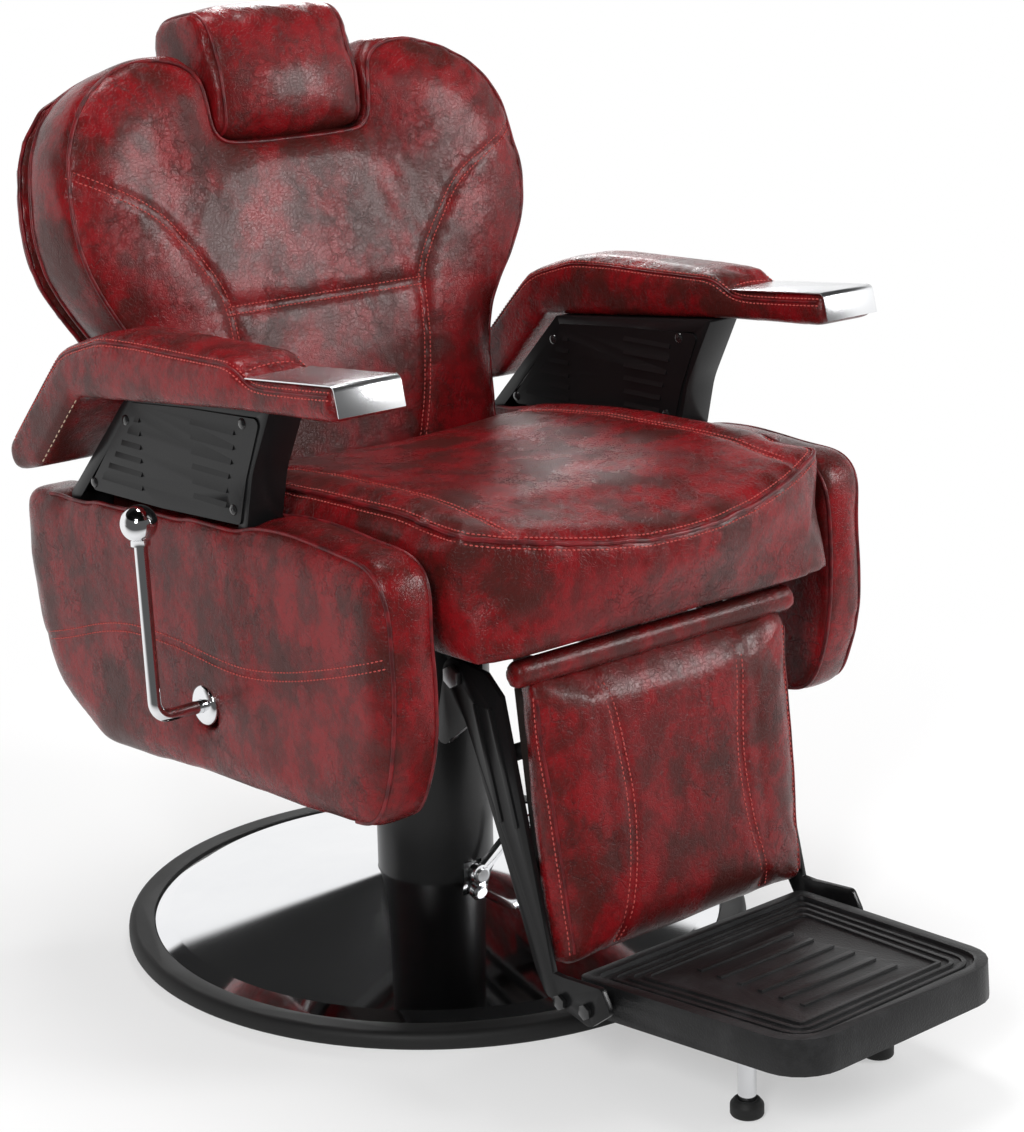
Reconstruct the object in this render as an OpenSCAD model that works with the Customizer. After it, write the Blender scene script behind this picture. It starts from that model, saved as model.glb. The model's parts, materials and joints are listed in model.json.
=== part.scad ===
// Hydraulic barber chair with a reclining back, a linked legrest and a lifting, turning seat.
// Millimetres. +Z up, the sitter faces -Y, +X is the sitter's left-hand side.
// The origin is on the floor, on the axis of the pump.

/* [Base] */
// Outer diameter of the rubber ring on the floor
base_d = 660; // [600:5:760]
// Height of the rubber ring
ring_h = 17; // [14:1:24]
// Width of rubber that shows round the chromed disc
ring_w = 27; // [18:1:40]
// Thickness of the steel floor plate
plate_t = 8; // [6:1:12]
// Rise of the chromed disc from its rim to the column
dome_h = 28; // [16:1:36]
// Sheet thickness of the chromed disc
disc_t = 2; // [1.5:0.5:3]
// Diameter of the black collar where the column meets the disc
collar_d = 150; // [138:1:170]

/* [Column and pump] */
// Outer diameter of the column cover
column_d = 124; // [116:1:136]
// Wall of the column cover
column_wall = 2.5; // [2:0.5:4]
// Outer diameter of the pump cylinder
cylinder_d = 94; // [84:1:100]
// Diameter of the lifting ram
ram_d = 56; // [44:1:62]
// Height that the pump lifts the seat
lift_travel = 150; // [100:5:170]
// Running clearance of rams, rods and pins in their bores
running_gap = 0.05; // [0.03:0.01:0.1]
// Height of the pedal's pivot above the floor
pedal_pivot_z = 66; // [62:1:76]
// Distance from the pump axis to the pedal's pivot plane
pedal_pivot_y = 70; // [66:1:76]
// Reach of the pedal to the side of the column
pedal_reach = 290; // [220:5:300]
// Thickness of the pedal's bar
pedal_bar_t = 8; // [7:1:10]
// Depth of the pedal's bar
pedal_bar_h = 10; // [8:1:14]

/* [Seat frame] */
// Height of the top of the steel seat frame
frame_top = 397; // [390:1:404]
// Height of the frame's square tubes
tube_h = 22; // [18:1:24]
// Width of the frame's square tubes
tube_w = 30; // [24:1:34]
// Half distance between the centres of the two rails
rail_x = 118; // [112:1:122]
// Thickness of the plywood seat board
board_t = 12; // [9:1:15]

/* [Seat cushion] */
// Half width of the seat at its piping
seat_half_w = 235; // [220:1:240]
// Front of the seat at its centre, in front of the pump axis
seat_front = 392; // [385:1:405]
// Rear of the seat, behind the pump axis
seat_rear = 106; // [95:1:108]
// Height of the seat's side piping above the floor
seat_side_z = 531; // [515:1:540]
// Height of the piping at the middle of the front
seat_front_z = 501; // [490:1:510]
// Depth by which the middle of the seat is lower than its sides
seat_dish = 14; // [6:1:20]

/* [Side panels and arms] */
// Gap between the seat's side and the side panel
panel_gap = 20; // [16:1:24]
// Thickness of a side panel
panel_t = 58; // [54:1:65]
// Front of the side panels
panel_front = 318; // [300:1:330]
// Rear of the side panels
panel_rear = 274; // [250:1:285]
// Top of the side panels
panel_top = 518; // [505:1:522]
// Bottom of the side panels at their lowest point
panel_bottom = 248; // [242:1:262]
// Distance from the panel's inner face to the pillar
pillar_inset = 8; // [6:1:10]
// Width of a pillar across the chair
pillar_w = 41; // [36:1:43]
// Sheet thickness of a pillar
pillar_wall = 3; // [2:0.5:4]
// Distance from the panel's inner face to the arm pad
arm_inset = 13; // [11:1:18]
// Width of an arm pad
arm_w = 80; // [70:1:92]
// Height of the arm pad's flat top
arm_top = 678; // [665:1:690]
// Thickness of the chromed plate on the arm
cap_t = 1.5; // [1:0.5:3]

/* [Backrest] */
// Lean of the backrest from upright, in degrees
lean = 13.2; // [10:0.2:16]
// Half width of the backrest at its widest
back_half_w = 302; // [285:1:315]
// Half width of the backrest between the arms
waist_half_w = 222; // [205:1:230]
// Thickness of the foam at the middle
foam_t = 60; // [50:1:64]
// How far the wings come forward of the middle
wing = 25; // [10:1:35]
// Swell of the foam at the middle
back_crown = 14; // [6:1:20]
// Thickness of the plywood back board
back_board_t = 12; // [9:1:15]
// Depth of the padded rear cover
cover_t = 18; // [15:1:24]
// Half width of the notch for the headrest
notch_half_w = 101; // [100:1:112]
// Reclining range in degrees
recline_range = 40; // [30:1:45]

/* [Headrest] */
// Half width of the headrest
head_half_w = 98; // [80:1:98]
// Height of the headrest
head_h = 132; // [120:1:150]
// Width of the headrest's steel bar
head_bar_w = 40; // [30:1:50]
// Thickness of the headrest's steel bar
head_bar_t = 5; // [4:0.5:6]
// Height that the headrest can be drawn up
head_travel = 70; // [40:5:80]

/* [Legrest] */
// Half width of the legrest pad
leg_half_w = 162; // [140:1:163]
// Half length of the padded roll above the legrest
roll_half = 182; // [165:1:190]
// Top of the legrest pad
leg_top = 374; // [368:1:376]
// Bottom of the legrest pad
leg_bottom = 111; // [108:1:130]
// Thickness of the legrest pad
leg_t = 42; // [36:1:46]
// Slope of the legrest pad, as millimetres forward for each millimetre down
leg_slope = 0.14; // [0.1:0.01:0.18]
// Thickness of the two side arms
leg_arm_t = 6; // [5:0.5:8]
// Inner face of the side arms, from the middle of the chair
leg_arm_in = 165; // [164:1:168]

/* [Footrest] */
// Half width of the footrest tray at its rear
tray_half_w = 150; // [140:1:154]
// Half width of the footrest tray at its front
tray_front_half_w = 135; // [120:1:148]
// Length of the tray
tray_len = 268; // [240:1:290]
// Height of the tray's rim
tray_h = 30; // [24:1:34]
// Wall of the tray
tray_wall = 3; // [2.5:0.5:4]
// Number of short ribs across the middle of the tray
tray_ribs = 6; // [4:1:8]
// Half distance between the two feet
foot_x = 88; // [70:1:100]
// Diameter of the footrest's legs
foot_leg_d = 17; // [14:1:22]
// Diameter of the rubber feet
foot_d = 31; // [26:1:40]

/* [Recline lever] */
// Diameter of the lever's rod
lever_d = 13; // [11:1:15]
// Diameter of the ball on the lever
ball_d = 36; // [30:1:42]
// Height of the ball's centre above the lever's shaft
lever_h = 190; // [150:5:210]
// Distance from the side panel to the lever's upright
lever_out = 58; // [45:1:65]

/* [Hidden] */

// Places across the chair of the panels, pillars and arms
panel_in = seat_half_w + panel_gap;
panel_out = panel_in + panel_t;
pillar_in = panel_in + pillar_inset;
pillar_out = pillar_in + pillar_w;
arm_in = panel_in + arm_inset;
arm_out = arm_in + arm_w;

$fn = 48;
// Clearance between faces that only rest beside each other
fit = 0.3;
// Half width by which a cutting tool runs past a face
past = 1;

// Shared helpers ------------------------------------------------------------

// Extrude an outline drawn in (y, z) along x, from x0 to x1
module along_x(x0, x1) {
    translate([x0, 0, 0]) rotate([90, 0, 90]) linear_extrude(x1 - x0) children();
}

// A round bar along x
module bar_x(x0, x1, y, z, d) {
    translate([x0, y, z]) rotate([0, 90, 0]) cylinder(d = d, h = x1 - x0);
}

// Draw on the sitter's left, or mirrored on the right
module on_side(s) {
    mirror([s < 0 ? 1 : 0, 0, 0]) children();
}

function unit(v) = v / norm(v);
// Arc that rounds corner b between a and c with radius r
function corner_arc(a, b, c, r, n) =
    let (u = unit(a - b), v = unit(c - b), half = acos(u * v) / 2)
    let (middle = b + unit(u + v) * r / sin(half), p = b + u * r / tan(half))
    let (q = b + v * r / tan(half))
    let (a0 = atan2(p.y - middle.y, p.x - middle.x), a1 = atan2(q.y - middle.y, q.x - middle.x))
    let (turn = a1 - a0 > 180 ? a1 - a0 - 360 : a1 - a0 < -180 ? a1 - a0 + 360 : a1 - a0)
    [for (i = [0:n]) middle + r * [cos(a0 + turn * i / n), sin(a0 + turn * i / n)]];
// Outline through [x, y, radius] points, with each corner rounded by its radius
function rounded(points, n = 4) = [
    for (i = [0:len(points) - 1])
        let (k = len(points), a = points[(i + k - 1) % k], b = points[i], c = points[(i + 1) % k])
            each (b.z > 0
                ? corner_arc([a.x, a.y], [b.x, b.y], [c.x, c.y], b.z, n)
                : [[b.x, b.y]])
];
function flat(p) = [p.x, p.y];
// Closed outline moved inwards by d, for an outline that runs counter-clockwise
function inset(loop, d) = [
    for (i = [0:len(loop) - 1])
        let (k = len(loop), a = flat(loop[(i + k - 1) % k]), b = flat(loop[i]), c = flat(loop[(i + 1) % k]))
            let (u = unit(b - a), v = unit(c - b), m = unit(u + v))
                b + d * [-m.y, m.x] / max(0.5, m * u)
];
// Smooth curve through points, ends included
function smooth(p, n) = [
    for (i = [0:len(p) - 2], j = [0:n - 1])
        let (a = p[max(i - 1, 0)], b = p[i], c = p[i + 1], d = p[min(i + 2, len(p) - 1)], t = j / n)
            0.5 * (2 * b + (c - a) * t + (2 * a - 5 * b + 4 * c - d) * t * t
                + (3 * b - a - 3 * c + d) * t * t * t),
    p[len(p) - 1]
];
// Value at z on a curve of [z, value] pairs with rising z
function along(curve, z, i = 0) =
    i >= len(curve) - 2 || z <= curve[i + 1].x
        ? curve[i].y + (curve[i + 1].y - curve[i].y)
            * max(0, min(1, (z - curve[i].x) / (curve[i + 1].x - curve[i].x)))
        : along(curve, z, i + 1);

// Above 0 where the path a, b, c turns the same way as an outline that faces along n
function turning(a, b, c, n) = cross(b - a, c - a) * n;
// Whether corner i of those left can be cut off a flat outline without cutting any other corner
function is_ear(p, left, i, n) =
    let (k = len(left), ia = left[(i + k - 1) % k], ib = left[i], ic = left[(i + 1) % k])
        let (a = p[ia], b = p[ib], c = p[ic])
            turning(a, b, c, n) > 0 && len([
                for (j = left)
                    if (j != ia && j != ib && j != ic && turning(a, b, p[j], n) >= 0
                        && turning(b, c, p[j], n) >= 0 && turning(c, a, p[j], n) >= 0) j]) == 0;
function next_ear(p, left, n, i = 0) =
    i == len(left) - 1 || is_ear(p, left, i, n) ? i : next_ear(p, left, n, i + 1);
// Triangles that fill a flat outline, also a hollow one, as places in its list of points
function fill(p, n, left) =
    let (k = len(left), i = k > 3 ? next_ear(p, left, n) : 1)
        concat([[left[(i + k - 1) % k], left[i], left[(i + 1) % k]]],
            k > 3 ? fill(p, n, [for (j = [0:k - 1]) if (j != i) left[j]]) : []);
// The direction that a flat outline faces, as long as twice its area
function facing(p) = [for (q = p) 1] * [for (i = [0:len(p) - 1]) cross(p[i], p[(i + 1) % len(p)])];

// Closed skin over a stack of flat loops that each have the same number of points
module skin(loops) {
    n = len(loops[0]);
    m = len(loops);
    order = [for (i = [0:n - 1]) i];
    first = fill(loops[0], facing(loops[0]), order);
    last = fill(loops[m - 1], facing(loops[m - 1]), order);
    sides = [
        for (j = [0:m - 2], i = [0:n - 1])
            let (a = j * n + i, b = j * n + (i + 1) % n, c = a + n, d = b + n)
                each [[a, c, b], [b, c, d]]
    ];
    polyhedron(
        points = [for (loop = loops) each loop],
        faces = concat(first, sides, [for (t = last) (m - 1) * n * [1, 1, 1] + [t[2], t[1], t[0]]]),
        convexity = 8);
}

// A round bar between two points drawn in (x, y)
module straight_bar(a, b, d) {
    translate([a.x, a.y, 0]) rotate([0, 90, atan2(b.y - a.y, b.x - a.x)]) cylinder(d = d, h = norm(b - a));
}

// A round bar that follows a flat path drawn in (x, y), with bends of one radius
module bent_bar(path, d, bend) {
    last = len(path) - 1;
    trims = [
        for (i = [0:last])
            i == 0 || i == last ? 0
                : let (u = unit(path[i] - path[i - 1]), v = unit(path[i + 1] - path[i]))
                    bend * tan(acos(u * v) / 2)
    ];
    for (i = [0:last - 1]) {
        u = unit(path[i + 1] - path[i]);
        a = path[i] + u * trims[i];
        b = path[i + 1] - u * trims[i + 1];
        straight_bar(a, b, d);
    }
    for (i = [1:last - 1]) {
        u = unit(path[i] - path[i - 1]);
        v = unit(path[i + 1] - path[i]);
        turn = sign(u.x * v.y - u.y * v.x);
        start = path[i] - u * trims[i];
        middle = start + turn * bend * [-u.y, u.x];
        first = atan2(start.y - middle.y, start.x - middle.x);
        sweep = acos(u * v);
        translate([middle.x, middle.y, 0]) rotate([0, 0, turn > 0 ? first : first - sweep])
            rotate_extrude(angle = sweep) translate([bend, 0]) circle(d = d);
    }
}

// Base ----------------------------------------------------------------------

plate_z = 0;
plate_top = plate_z + plate_t;
disc_r = base_d / 2 - ring_w - fit;
rim_z = ring_h - 3;
column_r = column_d / 2;
cylinder_r = cylinder_d / 2;
ram_r = ram_d / 2;
flange_r = column_r + 28;
flange_t = 10;
flange_top = plate_top + flange_t;
bolt_circle = column_r + 15;
bolt_r = 5;
// Height of the disc's outside at a distance r from the axis
function dome_z(r) = rim_z + dome_h * (1 - pow(r / disc_r, 2));
collar_z = dome_z(column_r);
cover_top = frame_top - 45;
gland_z = cover_top - 42;
cylinder_top = gland_z + 30;
ram_low = flange_top + 40;

module base_plate() {
    color("#3a3a3c") difference() {
        translate([0, 0, plate_z]) cylinder(r = disc_r, h = plate_t, $fn = 96);
        for (a = [45:90:315])
            rotate([0, 0, a]) translate([bolt_circle, 0, plate_z - past])
                cylinder(r = bolt_r, h = plate_t + 2 * past);
    }
}

module base_disc() {
    steps = 16;
    hole = column_r + fit;
    top = [for (i = [0:steps]) let (r = hole + (disc_r - hole) * i / steps) [r, dome_z(r)]];
    under = [
        for (i = [steps:-1:0])
            let (r = hole + (disc_r - disc_t - hole) * i / steps) [r, dome_z(r) - disc_t]
    ];
    color("#d8dadf") rotate_extrude($fn = 96)
        polygon(concat(top, [[disc_r, plate_top], [disc_r - disc_t, plate_top]], under));
}

module rubber_ring() {
    outer = base_d / 2;
    seat = outer - ring_w;
    shoulder = 8;
    color("#161617") rotate_extrude($fn = 96) polygon(concat(
        [[seat, 0], [outer - 2, 0], [outer, 2]],
        [for (i = [0:5]) [outer - shoulder + shoulder * cos(i * 18), ring_h - shoulder + shoulder * sin(i * 18)]],
        [[seat, ring_h]]));
}

module base_collar() {
    outer = collar_d / 2;
    collar_h = 7;
    edge = 3;
    color("#0c0c0d") rotate_extrude($fn = 96) polygon(concat(
        [[column_r + fit, collar_z], [outer, collar_z]],
        [for (i = [0:4]) [outer - edge + edge * cos(i * 22.5), collar_z + collar_h - edge + edge * sin(i * 22.5)]],
        [[column_r + fit, collar_z + collar_h]]));
}

slot_w = 24;
slot_low = pedal_pivot_z - 12;
slot_high = pedal_pivot_z + 12;

module column_cover() {
    roll = 8;
    color("#1d1d1f") difference() {
        rotate_extrude($fn = 96) polygon(concat(
            [[column_r - column_wall, flange_top], [column_r, flange_top]],
            [for (i = [0:5]) [column_r - roll + roll * cos(i * 18), cover_top - roll + roll * sin(i * 18)]],
            [[cylinder_r + fit, cover_top], [cylinder_r + fit, cover_top - column_wall],
             [column_r - column_wall, cover_top - column_wall]]));
        translate([-slot_w / 2, -column_r - past, slot_low])
            cube([slot_w, 20, slot_high - slot_low]);
    }
}

module pump_cylinder() {
    bore_r = ram_r + 10;
    color("#6f7276") difference() {
        rotate_extrude($fn = 96) polygon([
            [0, plate_top], [flange_r, plate_top], [flange_r, flange_top], [cylinder_r, flange_top],
            [cylinder_r, cylinder_top], [bore_r, cylinder_top], [bore_r, flange_top + 10], [0, flange_top + 10]]);
        for (a = [45:90:315])
            rotate([0, 0, a]) translate([bolt_circle, 0, plate_top - past])
                cylinder(r = bolt_r, h = flange_t + 2 * past);
    }
}

module pump_gland() {
    bore_r = ram_r + 10;
    color("#b0903c") rotate_extrude($fn = 96) polygon([
        [ram_r + running_gap, gland_z], [bore_r - fit, gland_z], [bore_r - fit, cylinder_top],
        [cylinder_r - 2, cylinder_top], [cylinder_r - 2, cylinder_top + 7], [ram_r + running_gap, cylinder_top + 7]]);
}

module pump_bolts() {
    head_h = 7;
    color("#8a8d91") for (a = [45:90:315])
        rotate([0, 0, a]) translate([bolt_circle, 0, 0]) {
            translate([0, 0, flange_top]) cylinder(d = 17, h = head_h, $fn = 6);
            translate([0, 0, plate_z + 1]) cylinder(r = bolt_r - running_gap, h = flange_top - plate_z - 1);
        }
}

eye_t = 10;
eye_y = pedal_pivot_y;
pin_r = 4;

module pedal_bracket() {
    block_w = 24;
    block_in = cylinder_r + 1;
    block_out = column_r - column_wall - 3;
    color("#4a4c50") {
        translate([-block_w / 2, -block_out, flange_top])
            cube([block_w, block_out - block_in, pedal_pivot_z + 10 - flange_top]);
        translate([0, -block_out, pedal_pivot_z]) rotate([90, 0, 0])
            cylinder(r = pin_r, h = eye_y + eye_t / 2 + fit - block_out);
        translate([0, -eye_y - eye_t / 2 - fit, pedal_pivot_z]) rotate([90, 0, 0])
            cylinder(r = pin_r + 3, h = 3);
    }
}

// Pedal ---------------------------------------------------------------------

pedal_low = 108;
pad_len = 62;
pedal_knee = [58, pedal_low - pedal_pivot_z];
pedal_end = [pedal_reach, pedal_knee.y + 6];

// The pedal's bar, drawn flat about its pivot
module pedal_bar() {
    h = pedal_bar_h / 2;
    u = unit(pedal_knee);
    v = unit(pedal_end - pedal_knee);
    m = unit(u + v);
    across = h / (m * u) * [-m.y, m.x];
    linear_extrude(pedal_bar_t, center = true) polygon(rounded([
        [u.y * h, -u.x * h, 0], [pedal_knee.x - across.x, pedal_knee.y - across.y, 20],
        [pedal_end.x + v.y * h, pedal_end.y - v.x * h, 3], [pedal_end.x - v.y * h, pedal_end.y + v.x * h, 3],
        [pedal_knee.x + across.x, pedal_knee.y + across.y, 20 + pedal_bar_h], [-u.y * h, u.x * h, 0]], 6));
}

module pump_pedal() {
    eye_r = 11;
    color("#d8dadf") difference() {
        translate([0, -eye_y, pedal_pivot_z]) rotate([90, 0, 0]) union() {
            translate([0, 0, -eye_t / 2]) cylinder(r = eye_r, h = eye_t);
            pedal_bar();
        }
        translate([0, -eye_y + eye_t, pedal_pivot_z]) rotate([90, 0, 0])
            cylinder(r = pin_r + running_gap, h = 2 * eye_t);
    }
}

module pedal_pad() {
    pad_w = 36;
    pad_h = 18;
    pad_z = pedal_pivot_z + pedal_end.y;
    side = rounded([[-pad_w / 2, -pad_h / 2, 6], [pad_w / 2, -pad_h / 2, 6],
                    [pad_w / 2, pad_h / 2, 6], [-pad_w / 2, pad_h / 2, 6]]);
    color("#141415") difference() {
        translate([0, -eye_y, pad_z]) along_x(pedal_reach - pad_len, pedal_reach + 4) polygon(side);
        translate([0, -eye_y, pedal_pivot_z]) rotate([90, 0, 0]) pedal_bar();
        for (i = [0:5])
            translate([pedal_reach - pad_len + 8 + i * 9, -eye_y - pad_w, pad_z + pad_h / 2 - 2])
                cube([3, 2 * pad_w, 4]);
    }
}

// Ram and seat mount --------------------------------------------------------

mount_t = 8;
hub_r = ram_r + 17;
plate_low = frame_top - 4;
mount_low = plate_low - mount_t;
hub_low = cover_top + 4;
spigot_r = ram_r - 6;
mount_half = 78;
mount_bolt = 62;

module pump_ram() {
    color("#c9ccd1") {
        translate([0, 0, ram_low]) cylinder(r = ram_r, h = hub_low - fit - ram_low, $fn = 64);
        translate([0, 0, hub_low - fit]) cylinder(r = spigot_r, h = mount_low - hub_low, $fn = 64);
    }
}

module seat_mount() {
    color("#333437") difference() {
        union() {
            translate([-mount_half, -mount_half, mount_low]) cube([2 * mount_half, 2 * mount_half, mount_t]);
            translate([0, 0, hub_low]) cylinder(r = hub_r, h = mount_low - hub_low, $fn = 64);
            for (a = [45:90:315])
                rotate([0, 0, a]) translate([hub_r - 2, -3, mount_low - 18]) cube([24, 6, 18]);
        }
        translate([0, 0, hub_low - past]) cylinder(r = spigot_r + running_gap, h = mount_low - hub_low + past, $fn = 64);
        for (x = [-mount_bolt, mount_bolt], y = [-mount_bolt, mount_bolt])
            translate([x, y, mount_low - past]) cylinder(r = bolt_r, h = mount_t + 2 * past);
    }
}

module mount_bolts() {
    color("#8a8d91") for (x = [-mount_bolt, mount_bolt], y = [-mount_bolt, mount_bolt])
        translate([x, y, 0]) {
            translate([0, 0, mount_low - 7]) cylinder(d = 17, h = 7, $fn = 6);
            translate([0, 0, mount_low]) cylinder(r = bolt_r - running_gap, h = mount_t + 4);
        }
}

// Seat frame and its pivots -------------------------------------------------

// Pivot of the back, as (y, z)
hinge_a = [160, frame_top - 11];
// Pivot of the legrest, as (y, z)
hinge_b = [-246, frame_top - 33];
flange_in = 150;
flange_out = 154;
hinge_r = 7;
crank_back = 32;
crank_leg = 64;
span = hinge_a - hinge_b;
// Angle of the link bars above level
link_tilt = atan2(span.y, span.x) + asin((crank_leg - crank_back) / norm(span));
crank_back_angle = link_tilt + recline_range / 2;
crank_leg_angle = link_tilt + recline_range / 4;
link_a = hinge_a + crank_back * [sin(crank_back_angle), -cos(crank_back_angle)];
link_b = hinge_b + crank_leg * [sin(crank_leg_angle), -cos(crank_leg_angle)];
link_in = 157;
link_out = 162;
link_pin_r = 5;
pan_front = -262;
pan_rear = 128;
stub_h = 20;
stub_y = [-170, 60];

module seat_frame() {
    thin = 4;
    depth = 20;
    side = concat(
        [[pan_front, plate_low], [pan_front, hinge_b.y]],
        [for (i = [1:6]) hinge_b + 16 * [cos(180 + i * 20), sin(180 + i * 20)]],
        [[hinge_b.x + 34, plate_low - depth], [hinge_a.x - 24, plate_low - depth]],
        [for (i = [0:9]) hinge_a + 13 * [cos(-100 + i * 22), sin(-100 + i * 22)]],
        [[pan_rear, plate_low]]);
    color("#242527") difference() {
        union() {
            translate([-flange_out, pan_front, plate_low])
                cube([2 * flange_out, pan_rear - pan_front, thin]);
            for (s = [-1, 1]) on_side(s) {
                along_x(flange_in, flange_out) polygon(side);
                for (y = stub_y) {
                    translate([flange_out, y, plate_low - stub_h]) cube([panel_in - thin - flange_out, stub_h, stub_h]);
                    translate([panel_in - thin, y - 20, plate_low - stub_h - 12]) cube([thin, stub_h + 40, stub_h + 24]);
                }
            }
        }
        for (s = [-1, 1]) on_side(s) {
            bar_x(flange_in - past, flange_out + past, hinge_a.x, hinge_a.y, 2 * hinge_r);
            bar_x(flange_in - past, flange_out + past, hinge_b.x, hinge_b.y, 2 * hinge_r);
        }
        for (x = [-mount_bolt, mount_bolt], y = [-mount_bolt, mount_bolt])
            translate([x, y, plate_low - past]) cylinder(r = bolt_r, h = thin + 2 * past);
        for (s = [-1, 1]) translate([s * 108, -190, plate_low - past]) cylinder(d = 50, h = thin + 2 * past);
    }
}

module hinge_pins() {
    head = 6;
    outer = leg_arm_in + leg_arm_t + fit;
    color("#8a8d91") for (s = [-1, 1], p = [hinge_a, hinge_b]) on_side(s) {
        bar_x(flange_in - 8, outer, p.x, p.y, 2 * (hinge_r - running_gap));
        bar_x(flange_out, leg_arm_in - fit, p.x, p.y, 22);
        translate([outer, p.x, p.y]) rotate([0, 90, 0]) cylinder(d = 22, h = head, $fn = 6);
    }
}

module seat_board() {
    half = seat_half_w - 30;
    board_front = pan_front + 6;
    color("#c49a63") difference() {
        translate([-half, board_front, frame_top]) cube([2 * half, seat_rear - 8 - board_front, board_t]);
        for (s = [-1, 1]) translate([s * 108, -190, frame_top - past]) cylinder(d = 30, h = board_t + 2 * past);
    }
}

// Cushions ------------------------------------------------------------------

// Order of the border points of a grid with n columns and m rows
function border(n, m) = concat(
    [for (i = [0:n - 1]) [i, 0]],
    [for (j = [1:m - 1]) [n - 1, j]],
    [for (i = [n - 2:-1:0]) [i, m - 1]],
    [for (j = [m - 2:-1:1]) [0, j]]);

// Padded body: a crowned top over a grid of rows, and loops that lead down its sides
module padded(rows, loops) {
    n = len(rows[0]);
    m = len(rows);
    rim = border(n, m);
    count = len(rim);
    // Number of the k-th point of loop l, where loop 0 is the rim of the top
    function at(l, k) = l == 0 ? rim[k % count].y * n + rim[k % count].x : n * m + (l - 1) * count + k % count;
    tops = [
        for (j = [0:m - 2], i = [0:n - 2])
            let (a = j * n + i, b = a + 1, c = a + n, d = c + 1)
                each [[a, b, d], [a, d, c]]
    ];
    sides = [
        for (l = [0:len(loops) - 1], k = [0:count - 1])
            each [[at(l, k), at(l + 1, k), at(l + 1, k + 1)], [at(l, k), at(l + 1, k + 1), at(l, k + 1)]]
    ];
    floor_loop = loops[len(loops) - 1];
    floor_middle = [for (i = [0:2]) (min([for (p = floor_loop) p[i]]) + max([for (p = floor_loop) p[i]])) / 2];
    floor_point = n * m + len(loops) * count;
    floors = [for (k = [0:count - 1]) [at(len(loops), k + 1), at(len(loops), k), floor_point]];
    polyhedron(
        points = concat([for (row = rows) each row], [for (loop = loops) each loop], [floor_middle]),
        faces = concat(tops, sides, floors),
        convexity = 6);
}
function ease(t) = let (u = max(0, min(1, t))) u * u * (3 - 2 * u);
// Mirrored list of column places, from the far side to the near side
function both_sides(cols) = concat([for (i = [len(cols) - 1:-1:0]) -cols[i]], [0], cols);

// Seat ----------------------------------------------------------------------

seat_low = frame_top + board_t;
seat_seam = seat_half_w - 52;
seam_depth = 5;
corner_back = 57;
cave_half = roll_half + 6;
cave_front = seat_front - 42;
cave_h = 27;
seat_tuck = 4;
front_tuck = 30;
// Front edge of the seat at a distance x from the middle
function seat_lip(x) = -seat_front + corner_back * pow(abs(x) / seat_half_w, 2.2);
// Height of the side piping from the rear to the front
seat_side = [
    [-seat_front, seat_side_z], [-280, seat_side_z + 9], [-80, seat_side_z + 4],
    [46, seat_side_z - 9], [seat_rear, seat_side_z - 26]
];
function seat_z(x, t) =
    let (y = seat_rear + (seat_lip(x) - seat_rear) * t, s = abs(x) / seat_half_w)
    let (edge = seat_front_z + (seat_side_z - seat_front_z) * pow(s, 1.6))
    let (inner = along(seat_side, y) - seat_dish * (1 - s * s))
    let (groove = abs(abs(x) - seat_seam) < 1 && t < 0.96 ? seam_depth : 0)
        inner + (edge - inner) * ease((t - 0.72) / 0.28) - groove;

module seat_cushion() {
    cols = both_sides([
        seat_seam * 0.3, seat_seam * 0.6, seat_seam * 0.85, seat_seam - 8, seat_seam, seat_seam + 8,
        seat_half_w - 20, seat_half_w]);
    ts = [0, 0.1, 0.25, 0.42, 0.58, 0.7, 0.78, 0.86, 0.92, 0.97, 1];
    rows = [
        for (t = ts) [for (x = cols) [x, seat_rear + (seat_lip(x) - seat_rear) * t, seat_z(x, t)]]
    ];
    rim = border(len(cols), len(ts));
    // Loop at height z. Its front turns from the curved lip at 0 to the straight lower edge at 1
    function level(z, straight) = [
        for (p = rim)
            let (x = cols[p.x], t = ts[p.y], low_edge = -seat_front + front_tuck + 12 * pow(abs(x) / seat_half_w, 14))
            let (front = seat_lip(x) * (1 - straight) + low_edge * straight)
                [x * (1 - seat_tuck * straight / seat_half_w), seat_rear + (front - seat_rear) * t, z]
    ];
    color("#7c1f24") difference() {
        padded(rows, [
            level(seat_front_z - 28, 0.15),
            level(seat_low + 32, 0.65),
            level(seat_low, 1)]);
        // Room under the front for the top of the legrest as it swings up
        translate([-cave_half, -cave_front, seat_low - past])
            cube([2 * cave_half, cave_front + pan_front + 6, cave_h + past]);
    }
}

// Side panels ---------------------------------------------------------------

panel_profile = rounded([
    [panel_rear - 2, panel_top - 33, 18], [panel_rear - 143, panel_top - 17, 120], [-42, panel_top - 9, 100],
    [-169, panel_top, 100], [-panel_front + 8, panel_top - 8, 34], [-panel_front - 1, panel_bottom + 100, 200],
    [-panel_front + 30, panel_bottom + 26, 34], [-183, panel_bottom + 15, 100], [-22, panel_bottom + 9, 100],
    [66, panel_bottom + 1, 60], [148, panel_bottom - 2, 60], [panel_rear - 42, panel_bottom + 46, 90],
    [panel_rear - 12, panel_bottom + 112, 100], [panel_rear + 1, panel_top - 95, 80]], 3);
pocket_low = panel_top - 76;
pillar_front = 108;
pillar_rear = 200;
plate_gauge = 1.5;

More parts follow.
